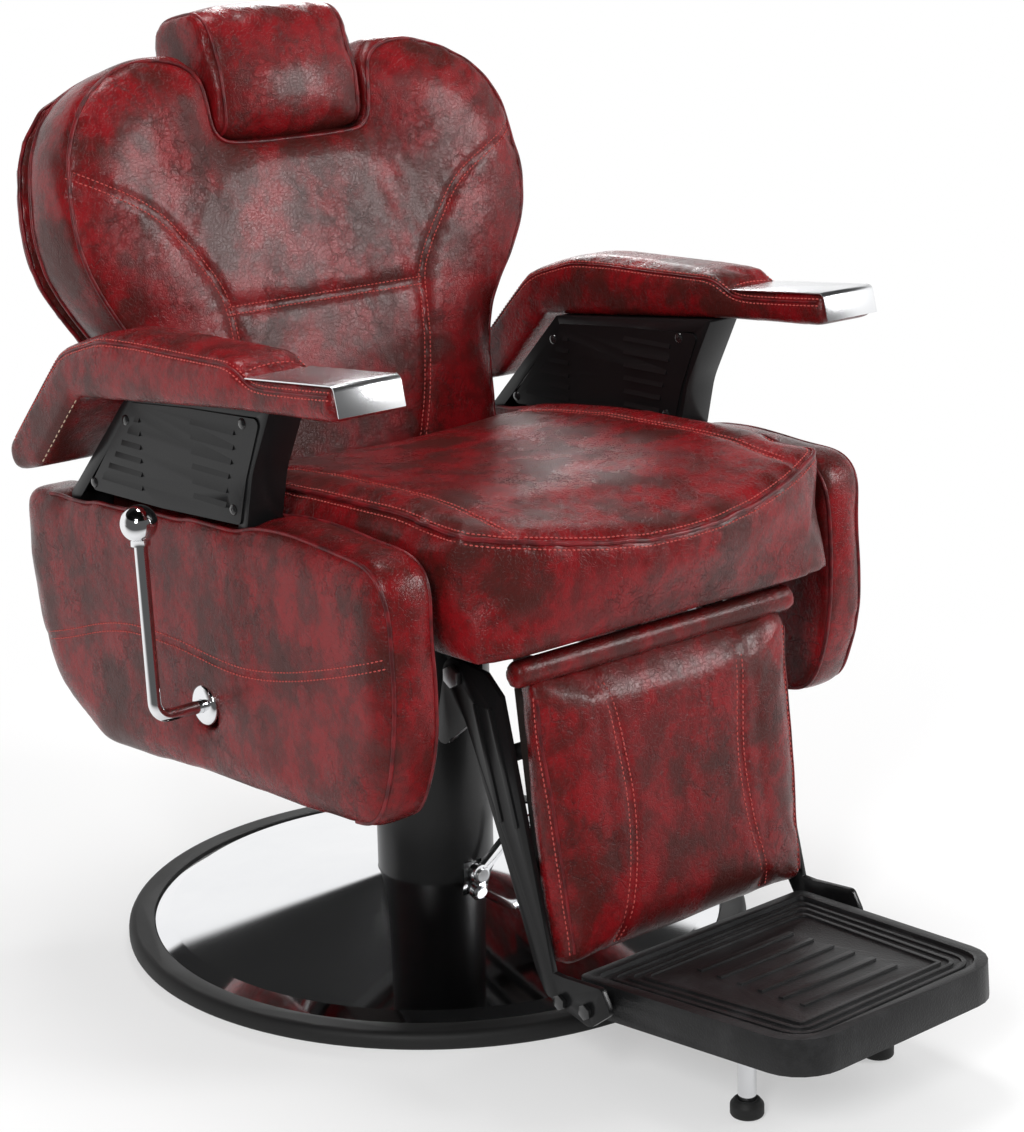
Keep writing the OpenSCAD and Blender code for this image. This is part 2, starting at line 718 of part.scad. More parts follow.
module side_panel() {
    outline = panel_profile;
    levels = [[0, 4], [4, 0], [30, -1], [panel_out - panel_in - 7, 0], [panel_out - panel_in - 2, 5],
        [panel_out - panel_in, 16]];
    difference() {
        skin([for (l = levels) [for (p = inset(outline, l.y)) [panel_in + l.x, p.x, p.y]]]);
        translate([pillar_in - plate_gauge - fit, -pillar_front - 3, pocket_low])
            cube([pillar_w + 2 * (plate_gauge + fit), pillar_front + pillar_rear + 6, 120]);
    }
}
lever_y = -40;
lever_z = 319;
bush_r = lever_d / 2 + 5;

module side_panel_left() {
    color("#7c1f24") side_panel();
}
module side_panel_right() {
    color("#7c1f24") difference() {
        on_side(-1) side_panel();
        bar_x(-panel_out - 10, -panel_in + 10, lever_y, lever_z, 2 * (bush_r + fit));
    }
}

// Pillars -------------------------------------------------------------------

// Underside of the arm pad, as height above the floor at a place y
function arm_under(y) = arm_top - 64 - 0.1 * (y - 20);
pillar_corners = [
    [84, arm_under(84)], [-156, arm_under(-156)], [-121, 560], [-pillar_front, 500], [-pillar_front, pocket_low],
    [pillar_rear, pocket_low], [pillar_rear, 487]];
// Outline of the pillar drawn in by d, with its hollow front edge rounded
function pillar_outline(d) =
    let (p = inset(pillar_corners, d))
        rounded([for (i = [0:6]) [p[i].x, p[i].y, i == 2 ? 90 : i == 3 ? 60 : i == 0 || i == 6 ? 4 : 2]], 4);
// Pressed slots, each as [inner end, outer end, height]
front_slots = [for (i = [0:5]) let (z = arm_under(-60) - 25.5 - i * 14.5) [-26, -97 + 17 * ease(i / 5), z]];
rear_slots = [for (i = [0:5]) let (z = arm_under(60) - 26 - i * 13.7) [63, 71 + 12.6 * i, z]];
screw_spots = [[88, arm_under(88) - 27], [-110, arm_under(-110) - 20], [152, 506], [-90, panel_top + 3]];

module pillar() {
    lip = 14;
    along_x(pillar_in, pillar_out) difference() {
        polygon(pillar_outline(0));
        polygon(pillar_outline(pillar_wall));
    }
    for (x = [pillar_in, pillar_out - 2])
        along_x(x, x + 2) difference() {
            polygon(pillar_outline(pillar_wall - 1));
            polygon(pillar_outline(lip));
        }
}

module pillar_left() {
    color("#1c1c1e") pillar();
}
module pillar_right() {
    color("#1c1c1e") on_side(-1) pillar();
}

louvre_h = 5;
louvre_d = 2;

module pillar_plates() {
    low = panel_top - 12;
    plate = rounded([
        [77, arm_under(77) - 9, 6], [-20, arm_under(-20) - 10, 0], [-138, arm_under(-138) - 15, 6],
        [-113, 555, 60], [-100, low + 2, 6], [30, low - 5, 0], [163, low - 8, 6]]);
    for (x = [pillar_in - plate_gauge, pillar_out])
        difference() {
            along_x(x, x + plate_gauge) polygon(plate);
            for (p = screw_spots) bar_x(x - past, x + plate_gauge + past, p.x, p.y, 5);
        }
    // Pressed louvres stand out from the flat of each plate
    for (slot = concat(front_slots, rear_slots)) {
        a = min(slot.x, slot.y);
        b = max(slot.x, slot.y);
        translate([pillar_out + plate_gauge, b, slot.z]) rotate([90, 0, 0]) linear_extrude(b - a)
            polygon([[-0.5, louvre_h / 2], [0, louvre_h / 2], [louvre_d, -louvre_h / 2], [-0.5, -louvre_h / 2]]);
        translate([pillar_in - plate_gauge, b, slot.z]) rotate([90, 0, 0]) linear_extrude(b - a)
            polygon([[0.5, louvre_h / 2], [0.5, -louvre_h / 2], [-louvre_d, -louvre_h / 2], [0, louvre_h / 2]]);
    }
}

module pillar_plates_left() {
    color("#1c1c1e") pillar_plates();
}
module pillar_plates_right() {
    color("#1c1c1e") on_side(-1) pillar_plates();
}

module pillar_screws() {
    head_r = 5.5;
    dome = 2.4;
    color("#b9bcc1") for (s = [-1, 1], p = screw_spots) on_side(s)
        for (face = [[pillar_out + plate_gauge, 1], [pillar_in - plate_gauge, -1]])
            translate([face.x, p.x, p.y]) rotate([0, 90 * face.y, 0]) rotate_extrude($fn = 32) polygon(concat(
                [[0, -plate_gauge], [2.4, -plate_gauge], [2.4, 0]],
                [for (i = [0:4]) [head_r * cos(i * 22.5), dome * sin(i * 22.5)]]));
}

// Arms ----------------------------------------------------------------------

cap_rear = -173;
cap_front = -304;
cap_low = arm_top - 30;
cap_rear_z = arm_top - 13;
cap_front_z = arm_top - 2;
cap_gap = 0.1;
droop_y = 252;
droop_z = arm_top - 169;

// Side view of the arm pad as [y, z, radius], from the seam behind the cap round by the front and the droop
arm_corners = [
    [cap_rear + 20, arm_top, 18], [cap_rear, cap_rear_z - cap_t - cap_gap, 2],
    [cap_front + cap_t + cap_gap, cap_front_z - cap_t - cap_gap, 5],
    [cap_front - 6 + cap_t + cap_gap, cap_low + 1, 4], [cap_front + 6, arm_under(cap_front) - 5, 3],
    [-169, arm_under(-169) + 0.2, 60], [20, arm_under(20) + 0.2, 60], [115, arm_under(115), 12],
    [droop_y - 60, droop_z + 13, 8], [droop_y - 11, droop_z, 14], [droop_y, droop_z + 25, 14],
    [droop_y - 110, arm_top - 28, 50], [66, arm_top - 4, 60]
];
// The side view drawn in by d. Below 0 only the corners of the top swell
function arm_outline(d) =
    let (moved = inset(arm_corners, d))
    let (corners = [
        for (i = [0:len(arm_corners) - 1])
            let (p = d >= 0 || i == 0 || i > 10 ? moved[i] : arm_corners[i], r = arm_corners[i].z)
                [p.x, p.y, max(min(r, 2), r - max(d, 0))]
    ])
        rounded(corners, 3);

module arm_pad() {
    levels = [[0, 7], [2, 2], [7, 0], [arm_w * 0.3, -1.5], [arm_w * 0.7, -1.5], [arm_w - 7, 0], [arm_w - 2, 2],
        [arm_w, 7]];
    skin([for (l = levels) [for (p = arm_outline(l.y)) [arm_in + l.x, p.x, p.y]]]);
}

module arm_pad_left() {
    color("#7c1f24") arm_pad();
}
module arm_pad_right() {
    color("#7c1f24") on_side(-1) arm_pad();
}

module arm_cap() {
    side = 3;
    along_x(arm_in + side, arm_out - side) polygon(concat(
        rounded([[cap_rear, cap_rear_z, 0], [cap_front, cap_front_z, 7], [cap_front - 7, cap_low, 0]]),
        rounded([[cap_front - 7 + cap_t, cap_low, 0], [cap_front + cap_t, cap_front_z - cap_t, 5],
            [cap_rear, cap_rear_z - cap_t, 0]])));
}

module arm_cap_left() {
    color("#d8dadf") arm_cap();
}
module arm_cap_right() {
    color("#d8dadf") on_side(-1) arm_cap();
}

// Recline lever -------------------------------------------------------------

rosette_t = 6;
lever_tilt = 3.6;
lever_in = panel_in - 24;
lever_reach = panel_out + lever_out - lever_in;

module lever_rosette() {
    color("#d8dadf") translate([-panel_out, lever_y, lever_z]) rotate([0, -90, 0]) rotate_extrude($fn = 48) polygon(concat(
        [[lever_d / 2 + running_gap, 0], [20, 0], [20, 1.5]],
        [for (i = [1:5]) [lever_d / 2 + 2 + (18 - lever_d / 2) * cos(i * 18), 1.5 + (rosette_t - 1.5) * sin(i * 18)]],
        [[lever_d / 2 + running_gap, rosette_t]]));
}

module lever_bush() {
    color("#6f7276") difference() {
        union() {
            bar_x(-panel_out + 0.5, -panel_in, lever_y, lever_z, 2 * bush_r);
            bar_x(-panel_in, -panel_in + 8, lever_y, lever_z, 2 * bush_r + 14);
        }
        bar_x(-panel_out - past, -panel_in + 10, lever_y, lever_z, lever_d + 2 * running_gap);
    }
}

module lever_rod() {
    translate([-lever_in, lever_y, lever_z]) rotate([-lever_tilt, 0, 0]) rotate([0, 0, 180]) rotate([90, 0, 0])
        bent_bar([[0, 0], [lever_reach, 0], [lever_reach, lever_h]], lever_d, 16);
}

module recline_lever() {
    cam_t = 6;
    color("#d8dadf") {
        lever_rod();
        translate([-lever_in, lever_y, lever_z]) rotate([-lever_tilt, 0, 0]) {
            bar_x(0, cam_t, 0, 0, lever_d + 12);
            translate([0, -6, 0]) cube([cam_t, 12, 22]);
        }
    }
}

module lever_ball() {
    rise = [sin(lever_tilt), cos(lever_tilt)] * lever_h;
    color("#d8dadf") difference() {
        translate([-lever_in - lever_reach, lever_y + rise.x, lever_z + rise.y]) union() {
            sphere(d = ball_d, $fn = 48);
            rotate([-lever_tilt, 0, 0]) translate([0, 0, -ball_d / 2 - 3]) cylinder(d = lever_d + 6, h = 8);
        }
        lever_rod();
    }
}

// Backrest ------------------------------------------------------------------
// The back is drawn flat: x across, y up along the back and z towards the sitter, with z = 0 on the
// front of its plywood board.

// Middle of the back's front face, as (y, z)
back_face = [163, 655];
back_low = -221;
back_high = 274;
notch_low = 178;
notch_r = 15;
wing_span = 295;
back_seam_depth = 5;

module in_back() {
    translate([0, back_face.x, back_face.y]) rotate([-lean, 0, 0]) translate([0, foam_t, 0])
        rotate([90, 0, 0]) children();
}
// Place of a point of the back's side view, as (y, z) in the chair
function from_back(up, out) =
    back_face + (foam_t - out) * [cos(lean), -sin(lean)] + up * [sin(lean), cos(lean)];

back_side = smooth([
    [back_low, waist_half_w - 17], [-145, waist_half_w - 7], [-75, waist_half_w + 4], [-30, waist_half_w + 18],
    [15, back_half_w - 32], [60, back_half_w - 8], [105, back_half_w], [140, back_half_w - 3],
    [185, back_half_w - 11], [225, back_half_w - 33], [257, back_half_w - 76], [back_high, back_half_w - 134]], 4);
back_seam = [
    [back_low, 86], [-169, 95], [-129, 109], [-53, 125], [0, 128], [46, 150], [103, 195], [139, back_half_w - 46],
    [165, back_half_w - 22], [back_high, back_half_w - 22]
];
function back_z(x, y) =
    let (half = along(back_side, y), s = abs(x) / wing_span)
    let (ex = 1 - min(1, (half - abs(x)) / 60), ey = 1 - min(1, min(back_high - y, y - back_low) / 50))
        foam_t + wing * s * s - back_crown * (ex * ex + ey * ey * (1 - ex * ex));

notch_shape = concat(
    [[notch_half_w + 30, back_high + 20]],
    rounded([[notch_half_w + 30, back_high + 4, 0], [notch_half_w + 2, back_high - 24, 20],
        [notch_half_w, notch_low, notch_r], [-notch_half_w, notch_low, notch_r],
        [-notch_half_w - 2, back_high - 24, 20], [-notch_half_w - 30, back_high + 4, 0]]),
    [[-notch_half_w - 30, back_high + 20]]);

module notch(extra = 0) {
    translate([0, -extra, -60]) linear_extrude(200) polygon(notch_shape);
}

module backrest_cushion() {
    ys = [back_high, 268, 257, 240, 218, 190, 165, 139, 116, 90, 62, 36, 10, 0, -10, -34, -60, -89, -118, -147, -178,
        -204, -215, back_low];
    // Columns as a share of the way to the seam, then on to the edge
    function column_x(i, y) =
        let (half = along(back_side, y), seam = min(along(back_seam, y), half - 22))
        let (x = [0, seam * 0.4, seam * 0.8, seam - 8, seam, seam + 8, half - 7, half][abs(i)])
            sign(i) * x;
    function groove(i, y) =
        (abs(i) == 4 && y < 150 && y > back_low + 8 ? back_seam_depth : 0)
        + (abs(y) < 1 && abs(i) < 4 ? back_seam_depth - 1 : 0);
    rows = [
        for (y = ys) [for (i = [-7:7]) let (x = column_x(i, y)) [x, y, back_z(x, y) - groove(i, y)]]
    ];
    rim = border(15, len(ys));
    function level(z, out) = [
        for (p = rim)
            let (y = ys[p.y], x = column_x(p.x - 7, y), grow = 1 + out / back_half_w) [x * grow, y * grow, z]
    ];
    color("#7c1f24") in_back() difference() {
        padded(rows, [level(foam_t * 0.55, 2), level(foam_t * 0.25, 1), level(0, -3)]);
        notch();
    }
}

module back_board() {
    margin = 8;
    ys = [for (i = [0:20]) back_low + margin + (back_high - back_low - 2 * margin) * i / 20];
    outline = concat(
        [for (y = ys) [along(back_side, y) - margin, y]],
        [for (i = [20:-1:0]) [-along(back_side, ys[i]) + margin, ys[i]]]);
    color("#1a1412") in_back() difference() {
        translate([0, 0, -back_board_t]) linear_extrude(back_board_t) polygon(outline);
        notch(margin);
    }
}

socket_low = 80;
socket_top = notch_low - 12;
socket_wall = 3;
bar_depth = back_board_t + socket_wall;
plate_up = -110;

module back_cover() {
    ys = [for (i = [0:16]) back_low + 2 + (back_high - back_low - 4) * i / 16];
    outline = concat(
        [for (y = ys) [along(back_side, y) - 2, y]],
        [for (i = [16:-1:0]) [-along(back_side, ys[i]) + 2, ys[i]]]);
    // Loop at depth z behind the board's front, drawn in by d
    function level(z, d) = [for (p = inset(outline, d)) [p.x, p.y, z]];
    low = -back_board_t - cover_t;
    color("#6d1b20") in_back() difference() {
        skin([level(low, 16), level(low + 4, 5), level(low + 9, 1), level(-back_board_t, 0)]);
        notch(4);
        // Room for the headrest's socket and for the two hinge plates
        translate([-head_bar_w / 2 - socket_wall - fit, socket_low - 20, low - past])
            cube([head_bar_w + 2 * (socket_wall + fit), 200, cover_t + past]);
        for (s = [-1, 1]) on_side(s)
            translate([leg_arm_in - 2, back_low - 20, -back_board_t - plate_deep - 1])
                cube([leg_arm_t + 4, plate_up - back_low + 22, plate_deep + 2]);
    }
}

plate_deep = 14;
cross_y = [176, 196];
cross_z = [hinge_a.y + 12, hinge_a.y + 30];
cylinder_x = 92;
eye_gap = 1;
// Pivot of the recline rod on the back's lug, as (y, z), and its travel
lug_r = 50;
lug_a = hinge_a + lug_r * [sin(recline_range / 2), -cos(recline_range / 2)];
rod_travel = 2 * lug_r * sin(recline_range / 2);
rod_z = hinge_a.y - lug_r * (1 + cos(recline_range / 2)) / 2;

module back_frame() {
    up = from_back(plate_up, -back_board_t);
    up_rear = from_back(plate_up, -back_board_t - plate_deep);
    low_front = from_back(back_low - 6, -back_board_t);
    low_rear = from_back(back_low - 6, -back_board_t - plate_deep);
    side = concat(
        [up, low_front, [low_front.x - 10, low_front.y - 4]],
        [for (i = [0:8]) hinge_a + 15 * [cos(120 + i * 20), sin(120 + i * 20)]],
        [[cross_y[1], cross_z[0] - 8], low_rear, up_rear]);
    crank = concat(
        [for (i = [0:8]) hinge_a + 14 * [cos(crank_back_angle + i * 22.5), sin(crank_back_angle + i * 22.5)]],
        [for (i = [0:8]) link_a + 11 * [cos(crank_back_angle + 180 + i * 22.5), sin(crank_back_angle + 180 + i * 22.5)]]);
    lug = concat(
        [for (i = [0:8]) lug_a + 10 * [cos(180 + i * 22.5), sin(180 + i * 22.5)]],
        [[cross_y[1], cross_z[0]], [cross_y[0], cross_z[0]]]);
    color("#242527") {
        for (s = [-1, 1]) on_side(s) {
            difference() {
                along_x(leg_arm_in, leg_arm_in + leg_arm_t) union() {
                    polygon(side);
                    polygon(crank);
                }
                bar_x(leg_arm_in - past, leg_arm_in + leg_arm_t + past, hinge_a.x, hinge_a.y, 2 * hinge_r);
            }
            bar_x(link_in - 1.5, leg_arm_in, link_a.x, link_a.y, 2 * link_pin_r);
        }
        translate([-leg_arm_in, cross_y[0], cross_z[0]])
            cube([2 * leg_arm_in, cross_y[1] - cross_y[0], cross_z[1] - cross_z[0]]);
        along_x(cylinder_x + 6, cylinder_x + 11) polygon(lug);
        bar_x(cylinder_x - 5, cylinder_x + 6, lug_a.x, lug_a.y, 9);
    }
}

module headrest_socket() {
    wide = head_bar_w + 2 * socket_wall;
    deep = head_bar_t + 2 * socket_wall;
    color("#3a3a3c") in_back() difference() {
        translate([-wide / 2, socket_low, -back_board_t - deep]) cube([wide, socket_top - socket_low, deep]);
        translate([-head_bar_w / 2 - running_gap, socket_low - past, -bar_depth - head_bar_t - running_gap])
            cube([head_bar_w + 2 * running_gap, 200, head_bar_t + 2 * running_gap]);
    }
}

// Headrest ------------------------------------------------------------------

head_gap = 3;
head_crown = 3;
head_low = notch_low + head_gap;
head_bar_top = head_low + head_h * 0.6;
head_bar_low = socket_top - head_travel - 34;
head_back = -back_board_t - cover_t + 2;
head_front = foam_t + 8;

module headrest_bar() {
    color("#b9bcc1") in_back()
        translate([-head_bar_w / 2, head_bar_low, -bar_depth - head_bar_t])
            cube([head_bar_w, head_bar_top - head_bar_low, head_bar_t]);
}

// Side view of the headrest as (towards the sitter, up), drawn in by d
function head_outline(d) =
    let (top = head_low + head_h, low = head_low + head_crown, middle = head_low + head_h * 0.45)
    let (corners = [[head_back + 1, low], [head_front - 3, low], [head_front + 3, middle], [head_front - 9, top],
        [head_back + 9, top + 2], [head_back - 1, middle]])
    let (p = inset(corners, d))
        rounded([for (i = [0:5]) [p[i].x, p[i].y, [9, 14, 60, 26, 20, 60][i]]], 4);

module headrest_cushion() {
    levels = [[-1, 11], [-0.975, 5], [-0.93, 2], [-0.75, 0], [-0.4, -2], [0, -head_crown], [0.4, -2], [0.75, 0],
        [0.93, 2], [0.975, 5], [1, 11]];
    color("#7c1f24") in_back() difference() {
        skin([for (l = levels) [for (p = head_outline(l.y)) [-l.x * head_half_w, p.y, p.x]]]);
        translate([-head_bar_w / 2, head_low - 20, -bar_depth - head_bar_t])
            cube([head_bar_w, head_bar_top - head_low + 20, head_bar_t]);
    }
}

// Recline cylinder ----------------------------------------------------------

cyl_r = 15;
cyl_front = -110;
cyl_rear = 84;
rod_r = 6;

module recline_cylinder() {
    bore_r = rod_r + 4;
    color("#2b2c2f") difference() {
        union() {
            translate([cylinder_x, cyl_front, rod_z]) rotate([-90, 0, 0]) cylinder(r = cyl_r, h = cyl_rear - cyl_front);
            for (y = [cyl_front + 10, cyl_rear - 40])
                translate([cylinder_x - 5, y, rod_z]) cube([10, 24, plate_low - rod_z]);
        }
        translate([cylinder_x, cyl_front + 12, rod_z]) rotate([-90, 0, 0])
            cylinder(r = bore_r, h = cyl_rear - cyl_front - 30);
        translate([cylinder_x, cyl_front + 12, rod_z]) rotate([-90, 0, 0])
            cylinder(r = rod_r + running_gap, h = cyl_rear - cyl_front);
    }
}

module recline_rod() {
    rod_low = cyl_front + 16 + rod_travel;
    eye = 11;
    eye_high = lug_r * (1 - cos(recline_range / 2)) / 2 + 4.5 + eye_gap;
    color("#c9ccd1") difference() {
        union() {
            translate([cylinder_x, rod_low, rod_z]) rotate([-90, 0, 0]) cylinder(r = rod_r, h = lug_a.x - eye + 2 - rod_low);
            translate([cylinder_x - 4, lug_a.x - eye, rod_z - eye - 2]) cube([8, 2 * eye, 2 * eye + 4]);
        }
        translate([cylinder_x - 6, lug_a.x - 4.5 - eye_gap, rod_z - eye_high])
            cube([12, 9 + 2 * eye_gap, 2 * eye_high]);
    }
}

// Link bars -----------------------------------------------------------------

module link_bar() {
    r = 9;
    run = link_a - link_b;
    tilt = atan2(run.y, run.x);
    outline = concat(
        [for (i = [0:8]) link_b + r * [cos(tilt + 90 + i * 22.5), sin(tilt + 90 + i * 22.5)]],
        [for (i = [0:8]) link_a + r * [cos(tilt - 90 + i * 22.5), sin(tilt - 90 + i * 22.5)]]);
    difference() {
        along_x(link_in, link_out) polygon(outline);
        bar_x(link_in - past, link_out + past, link_a.x, link_a.y, 2 * (link_pin_r + running_gap));
        bar_x(link_in - past, link_out + past, link_b.x, link_b.y, 2 * (link_pin_r + eye_gap));
    }
}

module link_left() {
    color("#3a3a3c") link_bar();
}
module link_right() {
    color("#3a3a3c") on_side(-1) link_bar();
}

// Legrest -------------------------------------------------------------------

leg_bolt = [[-388, 84], [-422, 86]];
leg_tubes = [[300, 16], [190, 16]];
leg_board_t = 10;
// Front face of the legrest pad at a height z
leg_face_y = -350;
roll_r = 9.5;
roll_up = 19;
roll_out = 35;
bracket_x = 138;
bracket_w = 18;
bracket_gauge = 3;
function leg_face(z) = leg_face_y - leg_slope * (leg_top - z);
// Rear face of the legrest's board at height z
function leg_back(z) = leg_face(z) + leg_t * (1 + leg_slope * leg_slope);

leg_arm_profile = concat(
    [for (i = [0:6]) hinge_b + 17 * [cos(i * 20 - 10), sin(i * 20 - 10)]],
    [[-290, 376], [-311, 358], [-345, 226], [-376, 108]],
    rounded([[-390, 108, 0], [-440, 113, 6], [-453, 92, 6], [-425, 70, 10], [-366, 84, 8], [-352, 106, 0]]),
    [[-318, 190], [-262, 318]],
    [for (i = [0:6]) link_b + 11 * [cos(200 + i * 30), sin(200 + i * 30)]]);

module leg_arm() {
    rib = 2;
    difference() {
        union() {
            along_x(leg_arm_in, leg_arm_in + leg_arm_t) polygon(leg_arm_profile);
            // Two pressed ribs on the outer face, below the pivot
            for (k = [0, 1])
                along_x(leg_arm_in + leg_arm_t, leg_arm_in + leg_arm_t + rib)
                    polygon(rounded([[-272 - 22 * k, 344, 2.4], [-278 - 22 * k, 344, 2.4], [-312 - 22 * k, 236, 2.4],
                        [-306 - 22 * k, 236, 2.4]]));
            bar_x(link_in - 1.5, leg_arm_in, link_b.x, link_b.y, 2 * link_pin_r);
        }
        bar_x(leg_arm_in - past, leg_arm_in + leg_arm_t + past, hinge_b.x, hinge_b.y, 2 * hinge_r);
        for (p = leg_bolt) bar_x(leg_arm_in - past, leg_arm_in + leg_arm_t + past, p.x, p.y, 2 * bolt_r);
    }
}

module leg_arm_left() {
    color("#1c1c1e") leg_arm();
}
module leg_arm_right() {
    color("#1c1c1e") on_side(-1) leg_arm();
}

module leg_cross_tubes() {
    color("#242527") for (t = leg_tubes)
        bar_x(-leg_arm_in, leg_arm_in, leg_back(t.x) + t.y / 2 / cos(atan(leg_slope)) + fit, t.x, t.y);
}

module in_leg() {
    translate([0, leg_face(leg_top) + leg_t, leg_top - leg_t * leg_slope])
        rotate([-atan(leg_slope), 0, 0]) rotate([90, 0, 0]) children();
}

leg_len = (leg_top - leg_bottom) / cos(atan(leg_slope));

module legrest_board() {
    half = leg_half_w - 10;
    color("#1a1412") in_leg() translate([-half, -leg_len + 6, 0]) cube([2 * half, leg_len - 12, leg_board_t]);
}

module legrest_cushion() {
    seam = 96;
    crown = 10;
    edge_drop = 4;
    ys = concat([0, -4, -14], [for (k = [0.11, 0.23, 0.38, 0.53, 0.68, 0.83]) -k * leg_len],
        [20 - leg_len, 8 - leg_len, -leg_len]);
    function side(y) = leg_half_w - 4 + 4 * sin(-y / leg_len * 180);
    function column_x(i, y) =
        sign(i) * [0, seam * 0.45, seam * 0.85, seam - 6, seam, seam + 6, side(y) - 14, side(y)][abs(i)];
    function top(i, y) =
        let (x = column_x(i, y), ex = 1 - min(1, (side(y) - abs(x)) / 30), ey = 1 - min(1, min(-y, y + leg_len) / 28))
        let (groove = abs(i) == 4 && y < -8 && y > 8 - leg_len ? 3.5 : 0)
            leg_t + crown - (crown + edge_drop) * max(ex * ex, ey * ey) - groove;
    rows = [for (y = ys) [for (i = [-7:7]) [column_x(i, y), y, top(i, y)]]];
    rim = border(15, len(ys));
    function level(z, d) = [for (p = rim) let (y = ys[p.y]) [column_x(p.x - 7, y) * (1 - d / leg_half_w), y, z]];
    color("#7c1f24") in_leg() padded(rows, [level(leg_board_t + 12, 0), level(leg_board_t, 3)]);
}

// Padded roll that closes the gap under the seat, and the two brackets that carry it
module legrest_roll() {
    color("#7c1f24") in_leg() difference() {
        translate([0, roll_up, roll_out]) rotate([0, 90, 0]) rotate_extrude($fn = 32) polygon(concat(
            [[0, -roll_half]],
            [for (i = [0:4]) [(roll_r - 4) + 4 * sin(i * 22.5), -roll_half + 4 - 4 * cos(i * 22.5)]],
            [for (i = [4:-1:0]) [(roll_r - 4) + 4 * sin(i * 22.5), roll_half - 4 + 4 * cos(i * 22.5)]],
            [[0, roll_half]]));
        for (s = [-1, 1])
            translate([s * bracket_x - bracket_w / 2 - fit, roll_up - bracket_gauge / 2 - fit, roll_out - 2 * roll_r])
                cube([bracket_w + 2 * fit, bracket_gauge + 2 * fit, 2 * roll_r + fit]);
    }
}

module roll_brackets() {
    color("#8a8d91") in_leg() for (s = [-1, 1]) translate([s * bracket_x - bracket_w / 2, 0, 0]) {
        translate([0, -34, -bracket_gauge - fit]) cube([bracket_w, 34 + roll_up + bracket_gauge / 2, bracket_gauge]);
        translate([0, roll_up - bracket_gauge / 2, -bracket_gauge - fit])
            cube([bracket_w, bracket_gauge, roll_out + bracket_gauge + fit]);
    }
}

module leg_bolts() {
    color("#b9bcc1") for (s = [-1, 1], p = leg_bolt) on_side(s) {
        translate([leg_arm_in + leg_arm_t, p.x, p.y]) rotate([0, 90, 0]) cylinder(d = 15, h = 5, $fn = 6);
        bar_x(leg_arm_in - 14, leg_arm_in + leg_arm_t, p.x, p.y, 2 * (bolt_r - running_gap));
    }
}

module footrest_frame() {
    color("#242527") difference() {
        for (p = leg_bolt) bar_x(-leg_arm_in, leg_arm_in, p.x, p.y, 16);
        for (s = [-1, 1], p = leg_bolt) on_side(s) bar_x(leg_arm_in - 14, leg_arm_in + past, p.x, p.y, 2 * bolt_r);
    }
}

// Footrest ------------------------------------------------------------------
// The tray is drawn flat: x across, y forward to the rear edge at 0, z up from its top face.

tray_rear = [-387, 98];
tray_tilt = 4;

module in_tray() {
    translate([0, tray_rear.x, tray_rear.y]) rotate([-tray_tilt, 0, 0]) children();
}

function tray_outline(d) = rounded([
    [tray_half_w - d, -d, 8], [-tray_half_w + d, -d, 8], [-tray_front_half_w + d, -tray_len + d, 45 - d],
    [tray_front_half_w - d, -tray_len + d, 45 - d]], 6);

module footrest_tray() {
    rim_h = 4;
    gutter = 12;
    rib_h = 2;
    color("#1b1b1c") difference() {
        in_tray() union() {
            difference() {
                translate([0, 0, -tray_h]) linear_extrude(tray_h + rim_h) polygon(tray_outline(0));
                translate([0, 0, -tray_h - past]) linear_extrude(tray_h + past - tray_wall) polygon(tray_outline(tray_wall));
                linear_extrude(rim_h + past) polygon(tray_outline(gutter));
            }
            // Nested ribs that follow the rim
            for (k = [1:3])
                linear_extrude(rib_h) difference() {
                    polygon(tray_outline(gutter + 11 * k - 4));
                    polygon(tray_outline(gutter + 11 * k));
                }
            // Short ribs across the middle
            for (i = [0:tray_ribs - 1]) {
                y = -70 - i * (tray_len - 140) / max(1, tray_ribs - 1);
                translate([-62, y - 3, 0]) cube([124, 6, rib_h]);
            }
        }
        for (p = leg_bolt) bar_x(-leg_arm_in, leg_arm_in, p.x, p.y, 16 + 2 * fit);
    }
}

foot_y = -542;
foot_clear = 1;
foot_h = 16;
// Underside of the tray's deck above the feet
leg_tube_top = tray_rear.y + tan(tray_tilt) * (tray_rear.x - foot_y) - tray_wall / cos(tray_tilt) - 1;

module footrest_legs() {
    color("#d8dadf") for (s = [-1, 1]) translate([s * foot_x, foot_y, 0]) {
        translate([0, 0, foot_clear + 6]) cylinder(d = foot_leg_d, h = leg_tube_top - foot_clear - 12);
        translate([0, 0, leg_tube_top - 6]) cylinder(d = 40, h = 5);
    }
}

module footrest_bolts() {
    color("#8a8d91") for (s = [-1, 1], dx = [-14, 14]) translate([s * foot_x + dx, foot_y, 0])
        translate([0, 0, leg_tube_top - 10]) cylinder(d = 8, h = 4, $fn = 6);
}

module footrest_feet() {
    color("#141415") for (s = [-1, 1]) translate([s * foot_x, foot_y, foot_clear]) rotate_extrude($fn = 40) polygon([
        [0, 0], [foot_d / 2 - 1, 0], [foot_d / 2, 2], [foot_d / 2, foot_h - 5], [foot_d / 2 - 4, foot_h],
        [foot_leg_d / 2, foot_h], [foot_leg_d / 2, 6], [0, 6]]);
}

